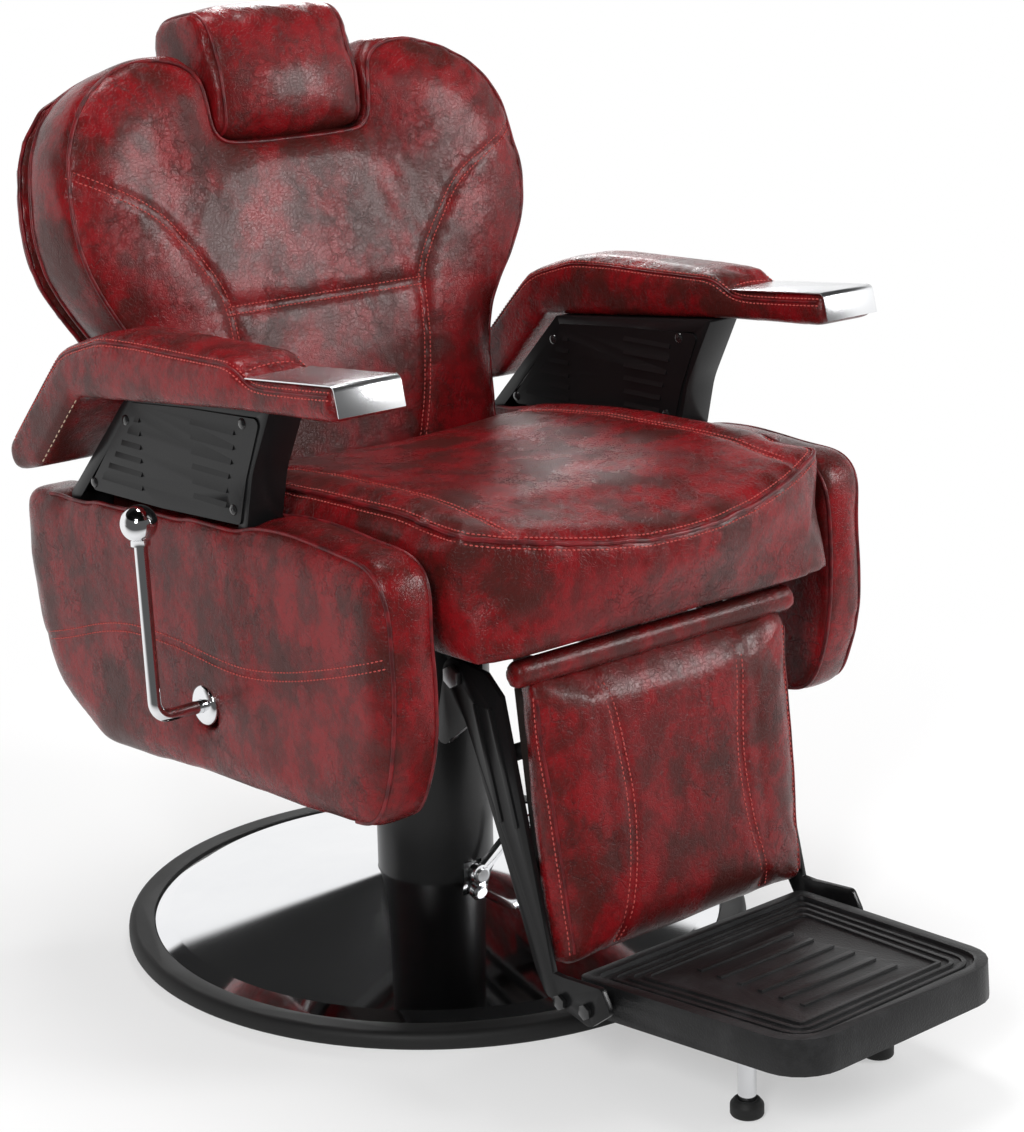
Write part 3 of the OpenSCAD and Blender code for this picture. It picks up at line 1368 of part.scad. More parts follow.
base_plate();
base_disc();
rubber_ring();
base_collar();
column_cover();
pump_cylinder();
pump_gland();
pump_bolts();
pedal_bracket();
pump_pedal();
pedal_pad();
pump_ram();
seat_mount();
mount_bolts();
seat_frame();
seat_board();
seat_cushion();
side_panel_left();
side_panel_right();
pillar_left();
pillar_right();
pillar_plates_left();
pillar_plates_right();
pillar_screws();
arm_pad_left();
arm_pad_right();
arm_cap_left();
arm_cap_right();
lever_rosette();
lever_bush();
hinge_pins();
recline_lever();
lever_ball();
back_frame();
back_board();
backrest_cushion();
back_cover();
headrest_socket();
headrest_bar();
headrest_cushion();
recline_cylinder();
recline_rod();
link_left();
link_right();
leg_arm_left();
leg_arm_right();
leg_cross_tubes();
legrest_board();
legrest_cushion();
legrest_roll();
roll_brackets();
leg_bolts();
footrest_frame();
footrest_tray();
footrest_bolts();
footrest_legs();
footrest_feet();
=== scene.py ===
# %% [markdown]
# # A hydraulic barber chair, dressed
# The chair's construction is loaded as a fixed frame: its bodies, its nodes and its joints. Each cell
# below makes one family of pieces or one finish for it. Lengths are in metres, +Z is up and the sitter
# faces -Y, so -X is the side of the recline lever.

# %% Load the frame
import math
import json

import bpy
import bmesh
import numpy as np
from mathutils import Matrix, Vector
from mathutils.bvhtree import BVHTree


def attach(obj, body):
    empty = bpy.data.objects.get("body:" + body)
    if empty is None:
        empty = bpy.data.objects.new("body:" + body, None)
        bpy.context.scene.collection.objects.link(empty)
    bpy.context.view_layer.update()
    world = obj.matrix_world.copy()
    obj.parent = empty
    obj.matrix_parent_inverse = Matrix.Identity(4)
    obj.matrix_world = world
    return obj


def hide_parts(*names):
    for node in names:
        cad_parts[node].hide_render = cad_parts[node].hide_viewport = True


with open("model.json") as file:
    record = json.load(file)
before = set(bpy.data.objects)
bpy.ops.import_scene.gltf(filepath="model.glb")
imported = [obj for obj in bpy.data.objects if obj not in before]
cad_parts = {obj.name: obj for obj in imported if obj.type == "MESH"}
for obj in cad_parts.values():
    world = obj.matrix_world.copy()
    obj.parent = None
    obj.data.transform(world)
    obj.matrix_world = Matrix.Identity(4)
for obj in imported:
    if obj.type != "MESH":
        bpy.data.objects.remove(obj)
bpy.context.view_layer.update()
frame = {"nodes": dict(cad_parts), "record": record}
nodes = frame["nodes"]
scene = bpy.context.scene
MM = 0.001

# %% [markdown]
# ## Camera
# A product picture is taken from a little above seat height and to one side, with a long lens so that
# upright lines stay nearly parallel. The camera is built from its two angles, its roll and its
# distance, because those are what a photographer sets. The lens shift keeps the chair high in the
# frame without tilting the camera.

# %% Camera
AZIMUTH, ELEVATION, ROLL = map(math.radians, (-39.07, 12.34, -1.66))
DISTANCE = 2.729
AIM = Vector((0.0, 0.0, 0.55))
LENS, SHIFT = 84.11, (0.0785, -0.1340)

back_axis = Vector((math.sin(AZIMUTH) * math.cos(ELEVATION), -math.cos(AZIMUTH) * math.cos(ELEVATION),
                    math.sin(ELEVATION)))
level_right = Vector((math.cos(AZIMUTH), math.sin(AZIMUTH), 0))
level_up = back_axis.cross(level_right)
right_axis = math.cos(ROLL) * level_right + math.sin(ROLL) * level_up
up_axis = -math.sin(ROLL) * level_right + math.cos(ROLL) * level_up

camera = bpy.data.objects.new("camera", bpy.data.cameras.new("camera"))
scene.collection.objects.link(camera)
turn = Matrix((right_axis, up_axis, back_axis)).transposed().to_4x4()
camera.matrix_world = Matrix.Translation(AIM + back_axis * DISTANCE) @ turn
camera.data.lens = LENS
camera.data.shift_x, camera.data.shift_y = SHIFT
scene.camera = camera
scene.view_settings.view_transform = "Standard"
print("camera at", [round(c, 3) for c in camera.matrix_world.translation])

# %% [markdown]
# ## Shader maths as Python
# Node trees are easier to read as expressions. `Wire` wraps one output socket, and `a * b + c` on
# wires adds the Math nodes for it. `Finish` owns one material, and its `node` method is the only
# place where a shader node is made.

# %% Wire and Finish
class Wire:
    """One output socket, with Python's operators for numbers."""

    def __init__(self, finish, socket):
        self.finish, self.socket = finish, socket

    def _math(self, kind, a, b=0.0):
        return self.finish.node("ShaderNodeMath", {"operation": kind}, a, b)

    def __add__(self, other):
        return self._math("ADD", self, other)

    def __sub__(self, other):
        return self._math("SUBTRACT", self, other)

    def __mul__(self, other):
        return self._math("MULTIPLY", self, other)

    def __rsub__(self, other):
        return self._math("SUBTRACT", other, self)

    __radd__ = __add__

    def above(self, low, high):
        """0 below low, 1 above high, and a smooth step between."""
        return self.finish.node("ShaderNodeMapRange", {"interpolation_type": "SMOOTHSTEP"},
                                self, low, high, 0.0, 1.0)


class Finish:
    """One procedural material around one Principled shader."""

    def __init__(self, name):
        self.material = bpy.data.materials.new(name)
        self.material.use_nodes = True
        self.tree = self.material.node_tree
        self.shader = self.tree.nodes["Principled BSDF"]
        self.place = self.node("ShaderNodeTexCoord", {}, output="Object")

    def node(self, kind, settings, *values, output=0, **named):
        """Add a node, set it up, feed its inputs by order or by name, and wrap one output."""
        made = self.tree.nodes.new(kind)
        for key, value in settings.items():
            if key == "stops":
                ramp = made.color_ramp
                while len(ramp.elements) < len(value):
                    ramp.elements.new(0.5)
                for element, (at, colour) in zip(ramp.elements, value):
                    element.position, element.color = at, (*colour, 1)
            else:
                setattr(made, key, value)
        for key, value in [*enumerate(values), *named.items()]:
            self.feed(made.inputs[key.replace("_", " ") if isinstance(key, str) else key], value)
        return Wire(self, made.outputs[output])

    def feed(self, socket, value):
        if isinstance(value, Wire):
            self.tree.links.new(value.socket, socket)
        elif value is not None:
            socket.default_value = value

    def noise(self, scale, detail=3.0, roughness=0.5, at=None):
        return self.node("ShaderNodeTexNoise", {}, Vector=at or self.place, Scale=scale, Detail=detail,
                         Roughness=roughness)

    def cells(self, scale, feature="F1", at=None):
        return self.node("ShaderNodeTexVoronoi", {"feature": feature}, Vector=at or self.place,
                         Scale=scale, output="Distance")

    def mix(self, share, first, second):
        """Blend two colours by a share from 0 to 1."""
        made = self.tree.nodes.new("ShaderNodeMix")
        made.data_type = "RGBA"
        for socket, value in ((made.inputs[0], share), (made.inputs[6], first), (made.inputs[7], second)):
            self.feed(socket, (*value, 1) if isinstance(value, tuple) else value)
        return Wire(self, made.outputs[2])

    def bump(self, height, depth, under=None):
        return self.node("ShaderNodeBump", {}, Strength=1.0, Distance=depth, Height=height,
                         **({"Normal": under} if under else {}))

    def surface(self, colour, roughness, normal=None, **others):
        """Feed the Principled shader and return the material."""
        self.feed(self.shader.inputs["Base Color"], (*colour, 1) if isinstance(colour, tuple) else colour)
        self.feed(self.shader.inputs["Roughness"], roughness)
        if normal:
            self.feed(self.shader.inputs["Normal"], normal)
        for key, value in others.items():
            self.shader.inputs[key.replace("_", " ")].default_value = value
        return self.material


print("shader helpers ready")

# %% [markdown]
# ## Leatherette
# The covers are a glossy coated cloth printed to look like old oxblood leather: a burgundy ground with
# smoky brown clouds that run up the hide, flecks of clear red, and creases that gather in patches.
# Noise whose place is pushed about by slower noise makes the clouds. Cell edges make the fine creases,
# and the places where a noise crosses its middle make long wrinkles. Both are lower, and both are
# darkened with painted shade.
# Object coordinates keep the grain one size on every cushion.

# %% Leatherette
def leatherette(name, dark=0.0):
    f = Finish(name)
    upright = f.node("ShaderNodeMapping", {}, Vector=f.place, Scale=(1.0, 1.0, 0.85))
    warp = f.node("ShaderNodeTexNoise", {}, Vector=upright, Scale=14.0, Detail=1.5, output="Color")
    drift = f.node("ShaderNodeVectorMath", {"operation": "MULTIPLY_ADD"}, warp, (0.020,) * 3, upright)
    clouds = f.noise(19.0, 4.0, 0.55, drift)
    patches = f.noise(7.5, 2.0, 0.5, drift)
    flecks = f.noise(62.0, 4.0, 0.6, drift)
    smoke = (clouds * 0.6 + patches * 0.4 + dark).above(0.42, 0.62)
    red = (flecks * 0.6 + clouds * -0.5 + 0.45).above(0.43, 0.60)
    ground = f.mix(smoke * 0.9, (0.118, 0.0048, 0.0058), (0.052, 0.0098, 0.0076))
    ground = f.mix(red * (0.8 - smoke * 0.5), ground, (0.225, 0.0052, 0.0083))
    ground = f.mix(flecks.above(0.56, 0.74) * 0.55, ground, (0.030, 0.0068, 0.0058))
    bent = f.node("ShaderNodeTexNoise", {}, Vector=f.place, Scale=60.0, Detail=3.0, output="Color")
    bent = f.node("ShaderNodeVectorMath", {"operation": "MULTIPLY_ADD"}, bent, (0.012,) * 3, f.place)
    creased = f.noise(13.0, 2.0).above(0.44, 0.62)
    folds = f.cells(95.0, "DISTANCE_TO_EDGE", bent).above(0.0, 0.055)
    creases = f.cells(230.0, "DISTANCE_TO_EDGE", bent).above(0.0, 0.09)
    pores = f.cells(620.0, "DISTANCE_TO_EDGE").above(0.0, 0.2)
    ridge = f.noise(30.0, 5.0, 0.6, bent) - 0.5
    wrinkles = (ridge * ridge).above(0.0, 0.0005)
    lines = (1 - folds) * creased * 0.3 + (1 - creases) * 0.25 + (1 - wrinkles) * creased * 0.6
    # Painted shade: the ground is darkened along the creases, folds and wrinkles.
    ground = f.mix(lines * 0.5, ground, (0.014, 0.0030, 0.0028))
    relief = f.bump(folds * creased * 0.35 + wrinkles * creased + creases * 0.4 + pores * 0.14, 0.00034)
    relief = f.bump(f.noise(80.0, 4.0, 0.6), 0.0007, relief)
    rough = 0.21 + smoke * 0.05 + lines * 0.12 + flecks * 0.06
    return f.surface(ground, rough, relief, Specular_IOR_Level=0.24, Coat_Weight=0.06, Coat_Roughness=0.12)


def piping_leather():
    f = Finish("piping_leather")
    tint = f.mix(f.noise(60.0).above(0.35, 0.65), (0.060, 0.0050, 0.0060), (0.17, 0.0065, 0.0095))
    relief = f.bump(f.cells(300.0, "DISTANCE_TO_EDGE").above(0.0, 0.2), 0.0001)
    return f.surface(tint, 0.28 + f.noise(90.0) * 0.15, relief, Specular_IOR_Level=0.35)


def thread(name, shaded, lit):
    f = Finish(name)
    strands = f.node("ShaderNodeTexWave", {"bands_direction": "DIAGONAL"}, Vector=f.place, Scale=900.0)
    tint = f.mix(strands, shaded, lit)
    return f.surface(tint, 0.55 + strands * 0.15, f.bump(strands, 0.0001))


LEATHER = leatherette("oxblood_leatherette")
LEATHER_REAR = leatherette("oxblood_leatherette_rear", 0.03)
PIPING = piping_leather()
THREAD = thread("red_thread", (0.34, 0.030, 0.028), (0.66, 0.12, 0.10))
PALE_THREAD = thread("pale_thread", (0.42, 0.30, 0.20), (0.70, 0.55, 0.40))
print("leatherette, piping and thread")

# %% [markdown]
# ## Metals, rubber and plastic
# Chrome is a mirror with a breath of polishing haze. The pressed steel is satin black lacquer with a
# faint orange peel. The column and the collar are the same lacquer at a higher gloss, the footrest is a
# moulded plastic with a fine leather-like grain, and the boards are plywood, stained black.

# %% Hard finishes
def chrome(name, haze=0.05):
    f = Finish(name)
    polish = f.noise(9.0, 4.0, 0.6)
    lines = f.noise(400.0, 2.0)
    tint = f.mix(polish, (0.80, 0.81, 0.83), (0.90, 0.905, 0.915))
    return f.surface(tint, haze + polish * 0.04 + lines * 0.02, f.bump(lines, 0.000004), Metallic=1.0)


def lacquer(name, tone=0.016, rough=0.34, peel=0.00008, coat=0.25, gloss=0.32):
    f = Finish(name)
    haze = f.noise(14.0, 5.0, 0.65)
    dust = f.noise(700.0, 2.0).above(0.62, 0.72)
    tint = f.mix(haze, (tone, tone, tone * 1.05), (tone * 1.9, tone * 1.9, tone * 2.0))
    tint = f.mix(dust * 0.12, tint, (0.06, 0.06, 0.06))
    relief = f.bump(f.noise(330.0, 3.0), peel)
    return f.surface(tint, rough + haze * 0.12, relief, Specular_IOR_Level=gloss, Coat_Weight=coat,
                     Coat_Roughness=0.2)


def steel(name, tone=0.55, rough=0.28):
    f = Finish(name)
    turned = f.node("ShaderNodeTexWave", {"wave_type": "RINGS"}, Vector=f.place, Scale=120.0, Distortion=2.0)
    stain = f.noise(40.0, 4.0)
    tint = f.mix(stain, (tone * 0.8,) * 3, (tone * 1.1, tone * 1.1, tone * 1.13))
    return f.surface(tint, rough + stain * 0.15, f.bump(turned, 0.00002), Metallic=1.0)


def brass_turned():
    f = Finish("turned_brass")
    stain = f.noise(60.0, 4.0)
    tint = f.mix(stain, (0.52, 0.36, 0.14), (0.74, 0.56, 0.26))
    return f.surface(tint, 0.25 + stain * 0.2, f.bump(f.noise(500.0), 0.00002), Metallic=1.0)


def rubber(name, tone=0.007):
    f = Finish(name)
    bloom = f.noise(16.0, 5.0, 0.7)
    tint = f.mix(bloom, (tone,) * 3, (tone * 2.2,) * 3)
    return f.surface(tint, 0.50 + bloom * 0.2, f.bump(f.noise(900.0, 2.0), 0.00006), Specular_IOR_Level=0.35)


def moulded_plastic():
    f = Finish("grained_plastic")
    pebble = f.cells(620.0, "SMOOTH_F1")
    scuff = f.noise(22.0, 5.0, 0.7)
    tint = f.mix(scuff.above(0.45, 0.75), (0.008, 0.008, 0.0085), (0.020, 0.020, 0.021))
    return f.surface(tint, 0.34 + scuff * 0.2, f.bump(pebble, 0.00025), Specular_IOR_Level=0.36)


def stained_board():
    f = Finish("black_stained_board")
    fibre = f.noise(120.0, 4.0, 0.7)
    tint = f.mix(fibre, (0.010, 0.007, 0.006), (0.03, 0.02, 0.017))
    return f.surface(tint, 0.5 + fibre * 0.2, f.bump(fibre, 0.0002))


CHROME = chrome("mirror_chrome")
DOME_CHROME = chrome("dome_chrome", 0.03)
SATIN_CHROME = chrome("satin_chrome", 0.22)
PRESSED = lacquer("pressed_steel_black", 0.0050, 0.24, 0.00004, 0.1, 0.2)
FRAME_BLACK = lacquer("frame_black", 0.007, 0.38, 0.00012, 0.0, 0.26)
COLUMN = lacquer("column_black", 0.0045, 0.28, 0.00004, 0.2)
COLLAR = lacquer("collar_black", 0.006, 0.10, 0.00001, 0.8)
BRIGHT = steel("bright_steel")
BRASS = brass_turned()
RUBBER = rubber("black_rubber")
TRAY = moulded_plastic()
STAINED = stained_board()
slot_finish = {
    "steel_black": FRAME_BLACK, "chrome": CHROME, "steel_bright": BRIGHT, "brass": BRASS, "rubber": RUBBER,
    "collar_black": COLLAR, "column_black": COLUMN, "pressed_black": PRESSED, "plywood": STAINED,
    "leatherette": LEATHER, "tray_plastic": TRAY,
}
own_finish = {
    "pillar_screws": COLLAR, "leg_bolts": COLLAR, "arm_cap_left": SATIN_CHROME, "arm_cap_right": SATIN_CHROME,
}
slot_of = {part["node"]: part["material_slot"] for part in frame["record"]["subparts"]}
for name, part in nodes.items():
    part.data.materials.clear()
    part.data.materials.append(own_finish.get(name, slot_finish[slot_of[name]]))
print(len(nodes), "nodes have a finish")

# %% [markdown]
# ## Rolled edges on pressed and turned parts
# A CAD mesh has perfectly sharp corners, which no press or lathe leaves, and flat facets on round
# faces. Each visible metal part is copied, its doubles are merged, its corners get a narrow bevel,
# and its round faces are shaded smooth between the corners that stay sharp. A few parts, such as the
# louvred plates, are left without a bevel, because it would be as wide as their own details.

# %% Rolled edges
SHARP_EDGE, PLATE_SHARP, DISC_SHARP = 32, 9, 5  # degrees between two faces
body_of_node = {node: body for body, parts in frame["record"]["behaviour"]["bodies"].items()
                for node in parts}


def stands_in(piece, node, finish=None):
    """Show a finished piece in the place of one hard node."""
    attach(piece, body_of_node[node])
    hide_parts(node)
    piece.data.materials.clear()
    piece.data.materials.append(finish or nodes[node].data.materials[0])
    return piece


def merged_copy(node):
    """The node's mesh with its loose triangles joined."""
    mesh = nodes[node].data.copy()
    work = bmesh.new()
    work.from_mesh(mesh)
    bmesh.ops.remove_doubles(work, verts=work.verts, dist=2e-5)
    bmesh.ops.dissolve_limit(work, angle_limit=math.radians(1.0), verts=work.verts, edges=work.edges)
    work.to_mesh(mesh)
    work.free()
    return mesh


def plain_mesh(piece):
    """The piece's mesh with its modifiers worked in."""
    graph = bpy.context.evaluated_depsgraph_get()
    mesh = bpy.data.meshes.new_from_object(piece.evaluated_get(graph), depsgraph=graph)
    piece.modifiers.clear()
    old, piece.data = piece.data, mesh
    bpy.data.meshes.remove(old)
    return mesh


def shade_by_angle(mesh, degrees):
    mesh.shade_smooth()
    mesh.set_sharp_from_angle(angle=math.radians(degrees))


def rolled(node, edge_mm, degrees=SHARP_EDGE):
    """Roll the edges of one hard node's copy, and stand it in for the node."""
    piece = bpy.data.objects.new(node + "_finished", merged_copy(node))
    scene.collection.objects.link(piece)
    if edge_mm:
        bevel = piece.modifiers.new("rolled_edge", "BEVEL")
        bevel.width, bevel.segments = edge_mm * MM, 2
        bevel.limit_method, bevel.angle_limit = "ANGLE", math.radians(degrees)
        plain_mesh(piece)
    shade_by_angle(piece.data, degrees)
    return stands_in(piece, node)


def turned_disc(node, profile, finish, parts=160):
    """A closed ring turned from its section, given as (radius, height)."""
    angles = np.linspace(0, math.tau, parts, endpoint=False)
    count = len(profile)
    points = [(r * math.cos(a), r * math.sin(a), z) for a in angles for r, z in profile]
    faces = [(i * count + j, (i + 1) % parts * count + j, (i + 1) % parts * count + (j + 1) % count,
              i * count + (j + 1) % count) for i in range(parts) for j in range(count)]
    mesh = bpy.data.meshes.new(node + "_turned")
    mesh.from_pydata(points, [], faces)
    work = bmesh.new()
    work.from_mesh(mesh)
    bmesh.ops.recalc_face_normals(work, faces=work.faces)
    work.to_mesh(mesh)
    work.free()
    shade_by_angle(mesh, DISC_SHARP)
    piece = bpy.data.objects.new(node + "_finished", mesh)
    scene.collection.objects.link(piece)
    return stands_in(piece, node, finish)


edge_of = {
    "rubber_ring": 1.5, "base_collar": 0.5, "column_cover": 0, "pump_ram": 0.4, "seat_mount": 0.5,
    "pump_pedal": 1.2, "pedal_pad": 1.0, "lever_rosette": 0.4, "recline_lever": 0, "lever_ball": 0,
    "arm_cap_left": 0.3, "arm_cap_right": 0.3, "roll_brackets": 0.3, "pillar_left": 0.5, "pillar_right": 0.5,
    "pillar_screws": 0, "leg_arm_left": 1.0, "leg_arm_right": 1.0, "leg_bolts": 0.4, "footrest_frame": 0.4,
    "footrest_tray": 0.7, "footrest_legs": 0.5, "footrest_feet": 1.0, "footrest_bolts": 0.4,
    "leg_cross_tubes": 0.3, "hinge_pins": 0.3, "headrest_bar": 0.5,
}
# The disc is a cone with a narrow chamfer at its rim, so it is turned again at its own size.
DISC_R, RIM_Z, SHEET = 0.3027, 0.014, 0.002
COLLAR_R, COLLAR_Z = 0.0623, 0.058
CHAMFER, CHAMFER_RISE = 0.017, 0.0075
CONE_RINGS = 12
cone_r = np.linspace(COLLAR_R, DISC_R - CHAMFER, CONE_RINGS)
cone_z = np.linspace(COLLAR_Z, RIM_Z + CHAMFER_RISE, CONE_RINGS)
disc_profile = [*zip(cone_r, cone_z), (DISC_R - 0.0012, RIM_Z + 0.001), (DISC_R, RIM_Z - 0.0006),
                (DISC_R - SHEET, RIM_Z - SHEET), (DISC_R - CHAMFER - SHEET, RIM_Z + CHAMFER_RISE - SHEET),
                (COLLAR_R, COLLAR_Z - SHEET)]
plates = ("pillar_plates_left", "pillar_plates_right")
hard = {node: rolled(node, 0, PLATE_SHARP) for node in plates}
hard |= {node: rolled(node, width) for node, width in edge_of.items()}
hard["base_disc"] = turned_disc("base_disc", disc_profile, DOME_CHROME)
print(len(hard), "hard parts are finished")

# %% [markdown]
# ## Curves to sew along
# A seam, a piping cord and a row of stitches all follow a line on a cushion. The line is given by a
# few points, a smooth curve goes through them, and the curve is then laid on the finished cushion by
# casting rays, so it stays on the surface whatever the stuffing did to it.

# %% Curves on a surface
def curve_through(points, step=0.004):
    """Evenly spaced points on a smooth curve through the given points."""
    p = np.array(points, float)
    p = np.vstack([2 * p[0] - p[1], p, 2 * p[-1] - p[-2]])
    t = np.linspace(0, 1, 24, endpoint=False)[:, None]
    fine = [0.5 * (2 * b + (c - a) * t + (2 * a - 5 * b + 4 * c - d) * t**2 + (3 * b - a - 3 * c + d) * t**3)
            for a, b, c, d in zip(p, p[1:], p[2:], p[3:])]
    fine = np.vstack([*fine, p[-2]])
    run = np.concatenate([[0], np.cumsum(np.linalg.norm(np.diff(fine, axis=0), axis=1))])
    even = np.linspace(0, run[-1], max(3, int(run[-1] / step)))
    return np.stack([np.interp(even, run, fine[:, k]) for k in range(3)], axis=1)


def mirrored(curve):
    return curve * (-1, 1, 1)


def coords(mesh):
    flat = np.empty(len(mesh.vertices) * 3)
    mesh.vertices.foreach_get("co", flat)
    return flat.reshape(-1, 3)


def set_coords(mesh, co):
    mesh.vertices.foreach_set("co", co.ravel())
    mesh.update()


def normals(mesh):
    flat = np.empty(len(mesh.vertices) * 3, np.float32)
    mesh.vertex_normals.foreach_get("vector", flat)
    return flat.reshape(-1, 3)


def near_curve(co, curve):
    """Distance of each point from a curve, and how far along the curve its nearest place is."""
    best, along = np.full(len(co), 9.0), np.zeros(len(co))
    run = 0.0
    for a, b in zip(curve, curve[1:]):
        span = b - a
        length = np.linalg.norm(span)
        t = np.clip((co - a) @ span / length**2, 0, 1)
        d = np.linalg.norm(co - a - t[:, None] * span, axis=1)
        closer = d < best
        best[closer], along[closer] = d[closer], run + t[closer] * length
        run += length
    return best, along


def eased(rows, rounds=6):
    """The rows of an array, each drawn towards its two neighbours. The ends stay."""
    rows = rows.copy()
    for _ in range(rounds):
        rows[1:-1] = rows[1:-1] * 0.5 + (rows[:-2] + rows[2:]) * 0.25
    return rows


def lay_on(mesh, curve, towards=None, sideways=0.0, proud=0.0):
    """Lay a curve on a mesh: cast along a direction, or take the nearest place. Shift it sideways first."""
    tree = BVHTree.FromPolygons([v.co for v in mesh.vertices], [p.vertices for p in mesh.polygons])
    laid, faces = [], []
    for place in curve:
        place = Vector(place)
        hit = (None,) * 4
        if towards is not None:
            way = Vector(towards).normalized()
            hit = tree.ray_cast(place - way * 0.08, way, 0.20)
        if hit[0] is None:
            hit = tree.find_nearest(place)
        laid.append(hit[0])
        faces.append(hit[1])
    laid, faces = eased(np.array(laid)), eased(np.array(faces))
    faces /= np.linalg.norm(faces, axis=1)[:, None] + 1e-9
    if sideways:
        ahead = np.gradient(laid, axis=0)
        side = np.cross(ahead, faces)
        side /= np.linalg.norm(side, axis=1)[:, None] + 1e-9
        return lay_on(mesh, laid + side * sideways, None, 0.0, proud)
    return laid + faces * proud


def both_sides(curve):
    return curve, mirrored(curve)


def laid_on(mesh, curves, towards=None, proud=0.0):
    return [lay_on(mesh, c, towards, proud=proud) for c in curves]


print("curve helpers ready")

# %% [markdown]
# ## Stuffed cushions
# A cushion is foam in a sewn cover: it swells between its seams and its sides pull in between its
# corners. The CAD solid gives the space it may fill. A voxel remesh turns it into an even cloth, the
# cloth is blown up a little with gravity off, and the places that rest on a board stay where they are.
# The movement has a cap, so the pad keeps its size. The sewn channels are pressed in afterwards,
# because a remesh would erase them.

# %% Stuffing
def remeshed(node, voxel):
    """A new object with an even, closed skin over a cushion's solid."""
    piece = bpy.data.objects.new(node + "_cover", merged_copy(node))
    scene.collection.objects.link(piece)
    skin = piece.modifiers.new("even_skin", "REMESH")
    skin.mode, skin.voxel_size, skin.use_smooth_shade = "VOXEL", voxel, True
    plain_mesh(piece)
    return piece


def relax(mesh, rounds, share=0.5, held=None):
    """Even out a mesh by moving each point towards its neighbours' middle."""
    edges = np.empty(len(mesh.edges) * 2, int)
    mesh.edges.foreach_get("vertices", edges)
    a, b = edges.reshape(-1, 2).T
    co = coords(mesh)
    degree = np.bincount(np.concatenate([a, b]), minlength=len(co))[:, None]
    free = np.ones(len(co)) if held is None else 1.0 - held
    for _ in range(rounds):
        total = np.zeros_like(co)
        np.add.at(total, a, co[b])
        np.add.at(total, b, co[a])
        co += (total / degree - co) * share * free[:, None]
    set_coords(mesh, co)


def blow_up(piece, held, cap_mm, pressure=4.0, frames=12):
    """Swell the cover by cloth simulation, by no more than the cap."""
    before = coords(piece.data)
    group = piece.vertex_groups.new(name="resting")
    group.add([int(i) for i in np.flatnonzero(held)], 1.0, "REPLACE")
    cloth = piece.modifiers.new("cover_cloth", "CLOTH")
    cloth.settings.vertex_group_mass = "resting"
    cloth.settings.use_pressure = True
    cloth.settings.uniform_pressure_force = pressure
    cloth.settings.effector_weights.gravity = 0
    cloth.settings.quality = 4
    cloth.settings.bending_stiffness = 0.4
    cloth.collision_settings.use_collision = False
    cloth.point_cache.frame_start, cloth.point_cache.frame_end = 1, frames
    for frame_number in range(1, frames + 1):
        scene.frame_set(frame_number)
    after = coords(piece.evaluated_get(bpy.context.evaluated_depsgraph_get()).data)
    piece.modifiers.clear()
    piece.vertex_groups.clear()
    scene.frame_set(1)
    move = after - before
    far = np.linalg.norm(move, axis=1)[:, None]
    limit = cap_mm * MM
    set_coords(piece.data, before + move / (far + 1e-9) * limit * np.tanh(far / limit))
    print(f"{piece.name}: {len(before)} points, swelled by up to {min(far.max(), limit) * 1000:.1f} mm")


def press_seams(mesh, seams, depth_mm=3.2, width_mm=5.0, pucker_mm=0.5, pitch=0.021):
    """Pull the cover in along its seams, with small puckers beside them."""
    out = normals(mesh)
    co = coords(mesh)
    push = np.zeros(len(co))
    for number, seam in enumerate(seams):
        d, along = near_curve(co, seam)
        push -= depth_mm * np.exp(-((d / (width_mm * MM)) ** 2))
        beat = np.sin(along / pitch * math.tau + 1.7 * np.sin(along / 0.057 + number))
        push += pucker_mm * beat * np.exp(-(((d - 0.009) / 0.008) ** 2))
    set_coords(mesh, co + out * push[:, None] * MM)


def uneven(mesh, height_mm, size, seed):
    """Slow hills in the cover, from a few sine waves in fixed directions."""
    rng = np.random.default_rng(seed)
    co, out = coords(mesh), normals(mesh)
    hill = sum(np.sin(co @ (rng.normal(size=3) / size * 2) + rng.uniform(0, 6)) for _ in range(7)) / 7
    set_coords(mesh, co + out * hill[:, None] * height_mm * MM)


def covered(piece, body, leather, fill, *stands_for):
    """Give a finished cushion its leather and its place."""
    piece.data.materials.clear()
    piece.data.materials.append(leather)
    piece.data.shade_smooth()
    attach(piece, body)
    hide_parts(*stands_for)
    return piece


print("stuffing helpers ready")

# %% [markdown]
# ## Piping and stitches as Geometry Nodes
# Piping is a cord in a strip of the same leather, sewn into an edge. Stitches are short loops of
# thread at an even pitch. Both follow a curve, so two small node trees make them: one sweeps a circle
# along the curve, and the other lays one stitch after another along it.

# %% Node trees that follow a curve
class Tree:
    """A Geometry Nodes tree with named inputs that starts from a mesh of plain edges."""

    def __init__(self, name, **inputs):
        self.group = bpy.data.node_groups.new(name, "GeometryNodeTree")
        face = self.group.interface
        face.new_socket("Geometry", in_out="INPUT", socket_type="NodeSocketGeometry")
        face.new_socket("Geometry", in_out="OUTPUT", socket_type="NodeSocketGeometry")
        self.keys = {}
        for label, start in inputs.items():
            kind = "NodeSocketMaterial" if start is None else "NodeSocketFloat"
            made = face.new_socket(label, in_out="INPUT", socket_type=kind)
            if start is not None:
                made.default_value = start
            self.keys[label] = made.identifier
        self.start = self.group.nodes.new("NodeGroupInput")
        self.end = self.group.nodes.new("NodeGroupOutput")

    def add(self, kind, settings=(), **links):
        made = self.group.nodes.new(kind)
        for key, value in dict(settings).items():
            setattr(made, key, value)
        for label, value in links.items():
            socket = made.inputs[label.replace("_", " ")]
            if isinstance(value, bpy.types.NodeSocket):
                self.group.links.new(value, socket)
            else:
                socket.default_value = value
        return made.outputs[0] if made.outputs else made

    def close(self, geometry):
        real = self.add("GeometryNodeRealizeInstances", Geometry=geometry)
        painted = self.add("GeometryNodeSetMaterial", Geometry=real, Material=self.start.outputs["Finish"])
        self.group.links.new(painted, self.end.inputs["Geometry"])


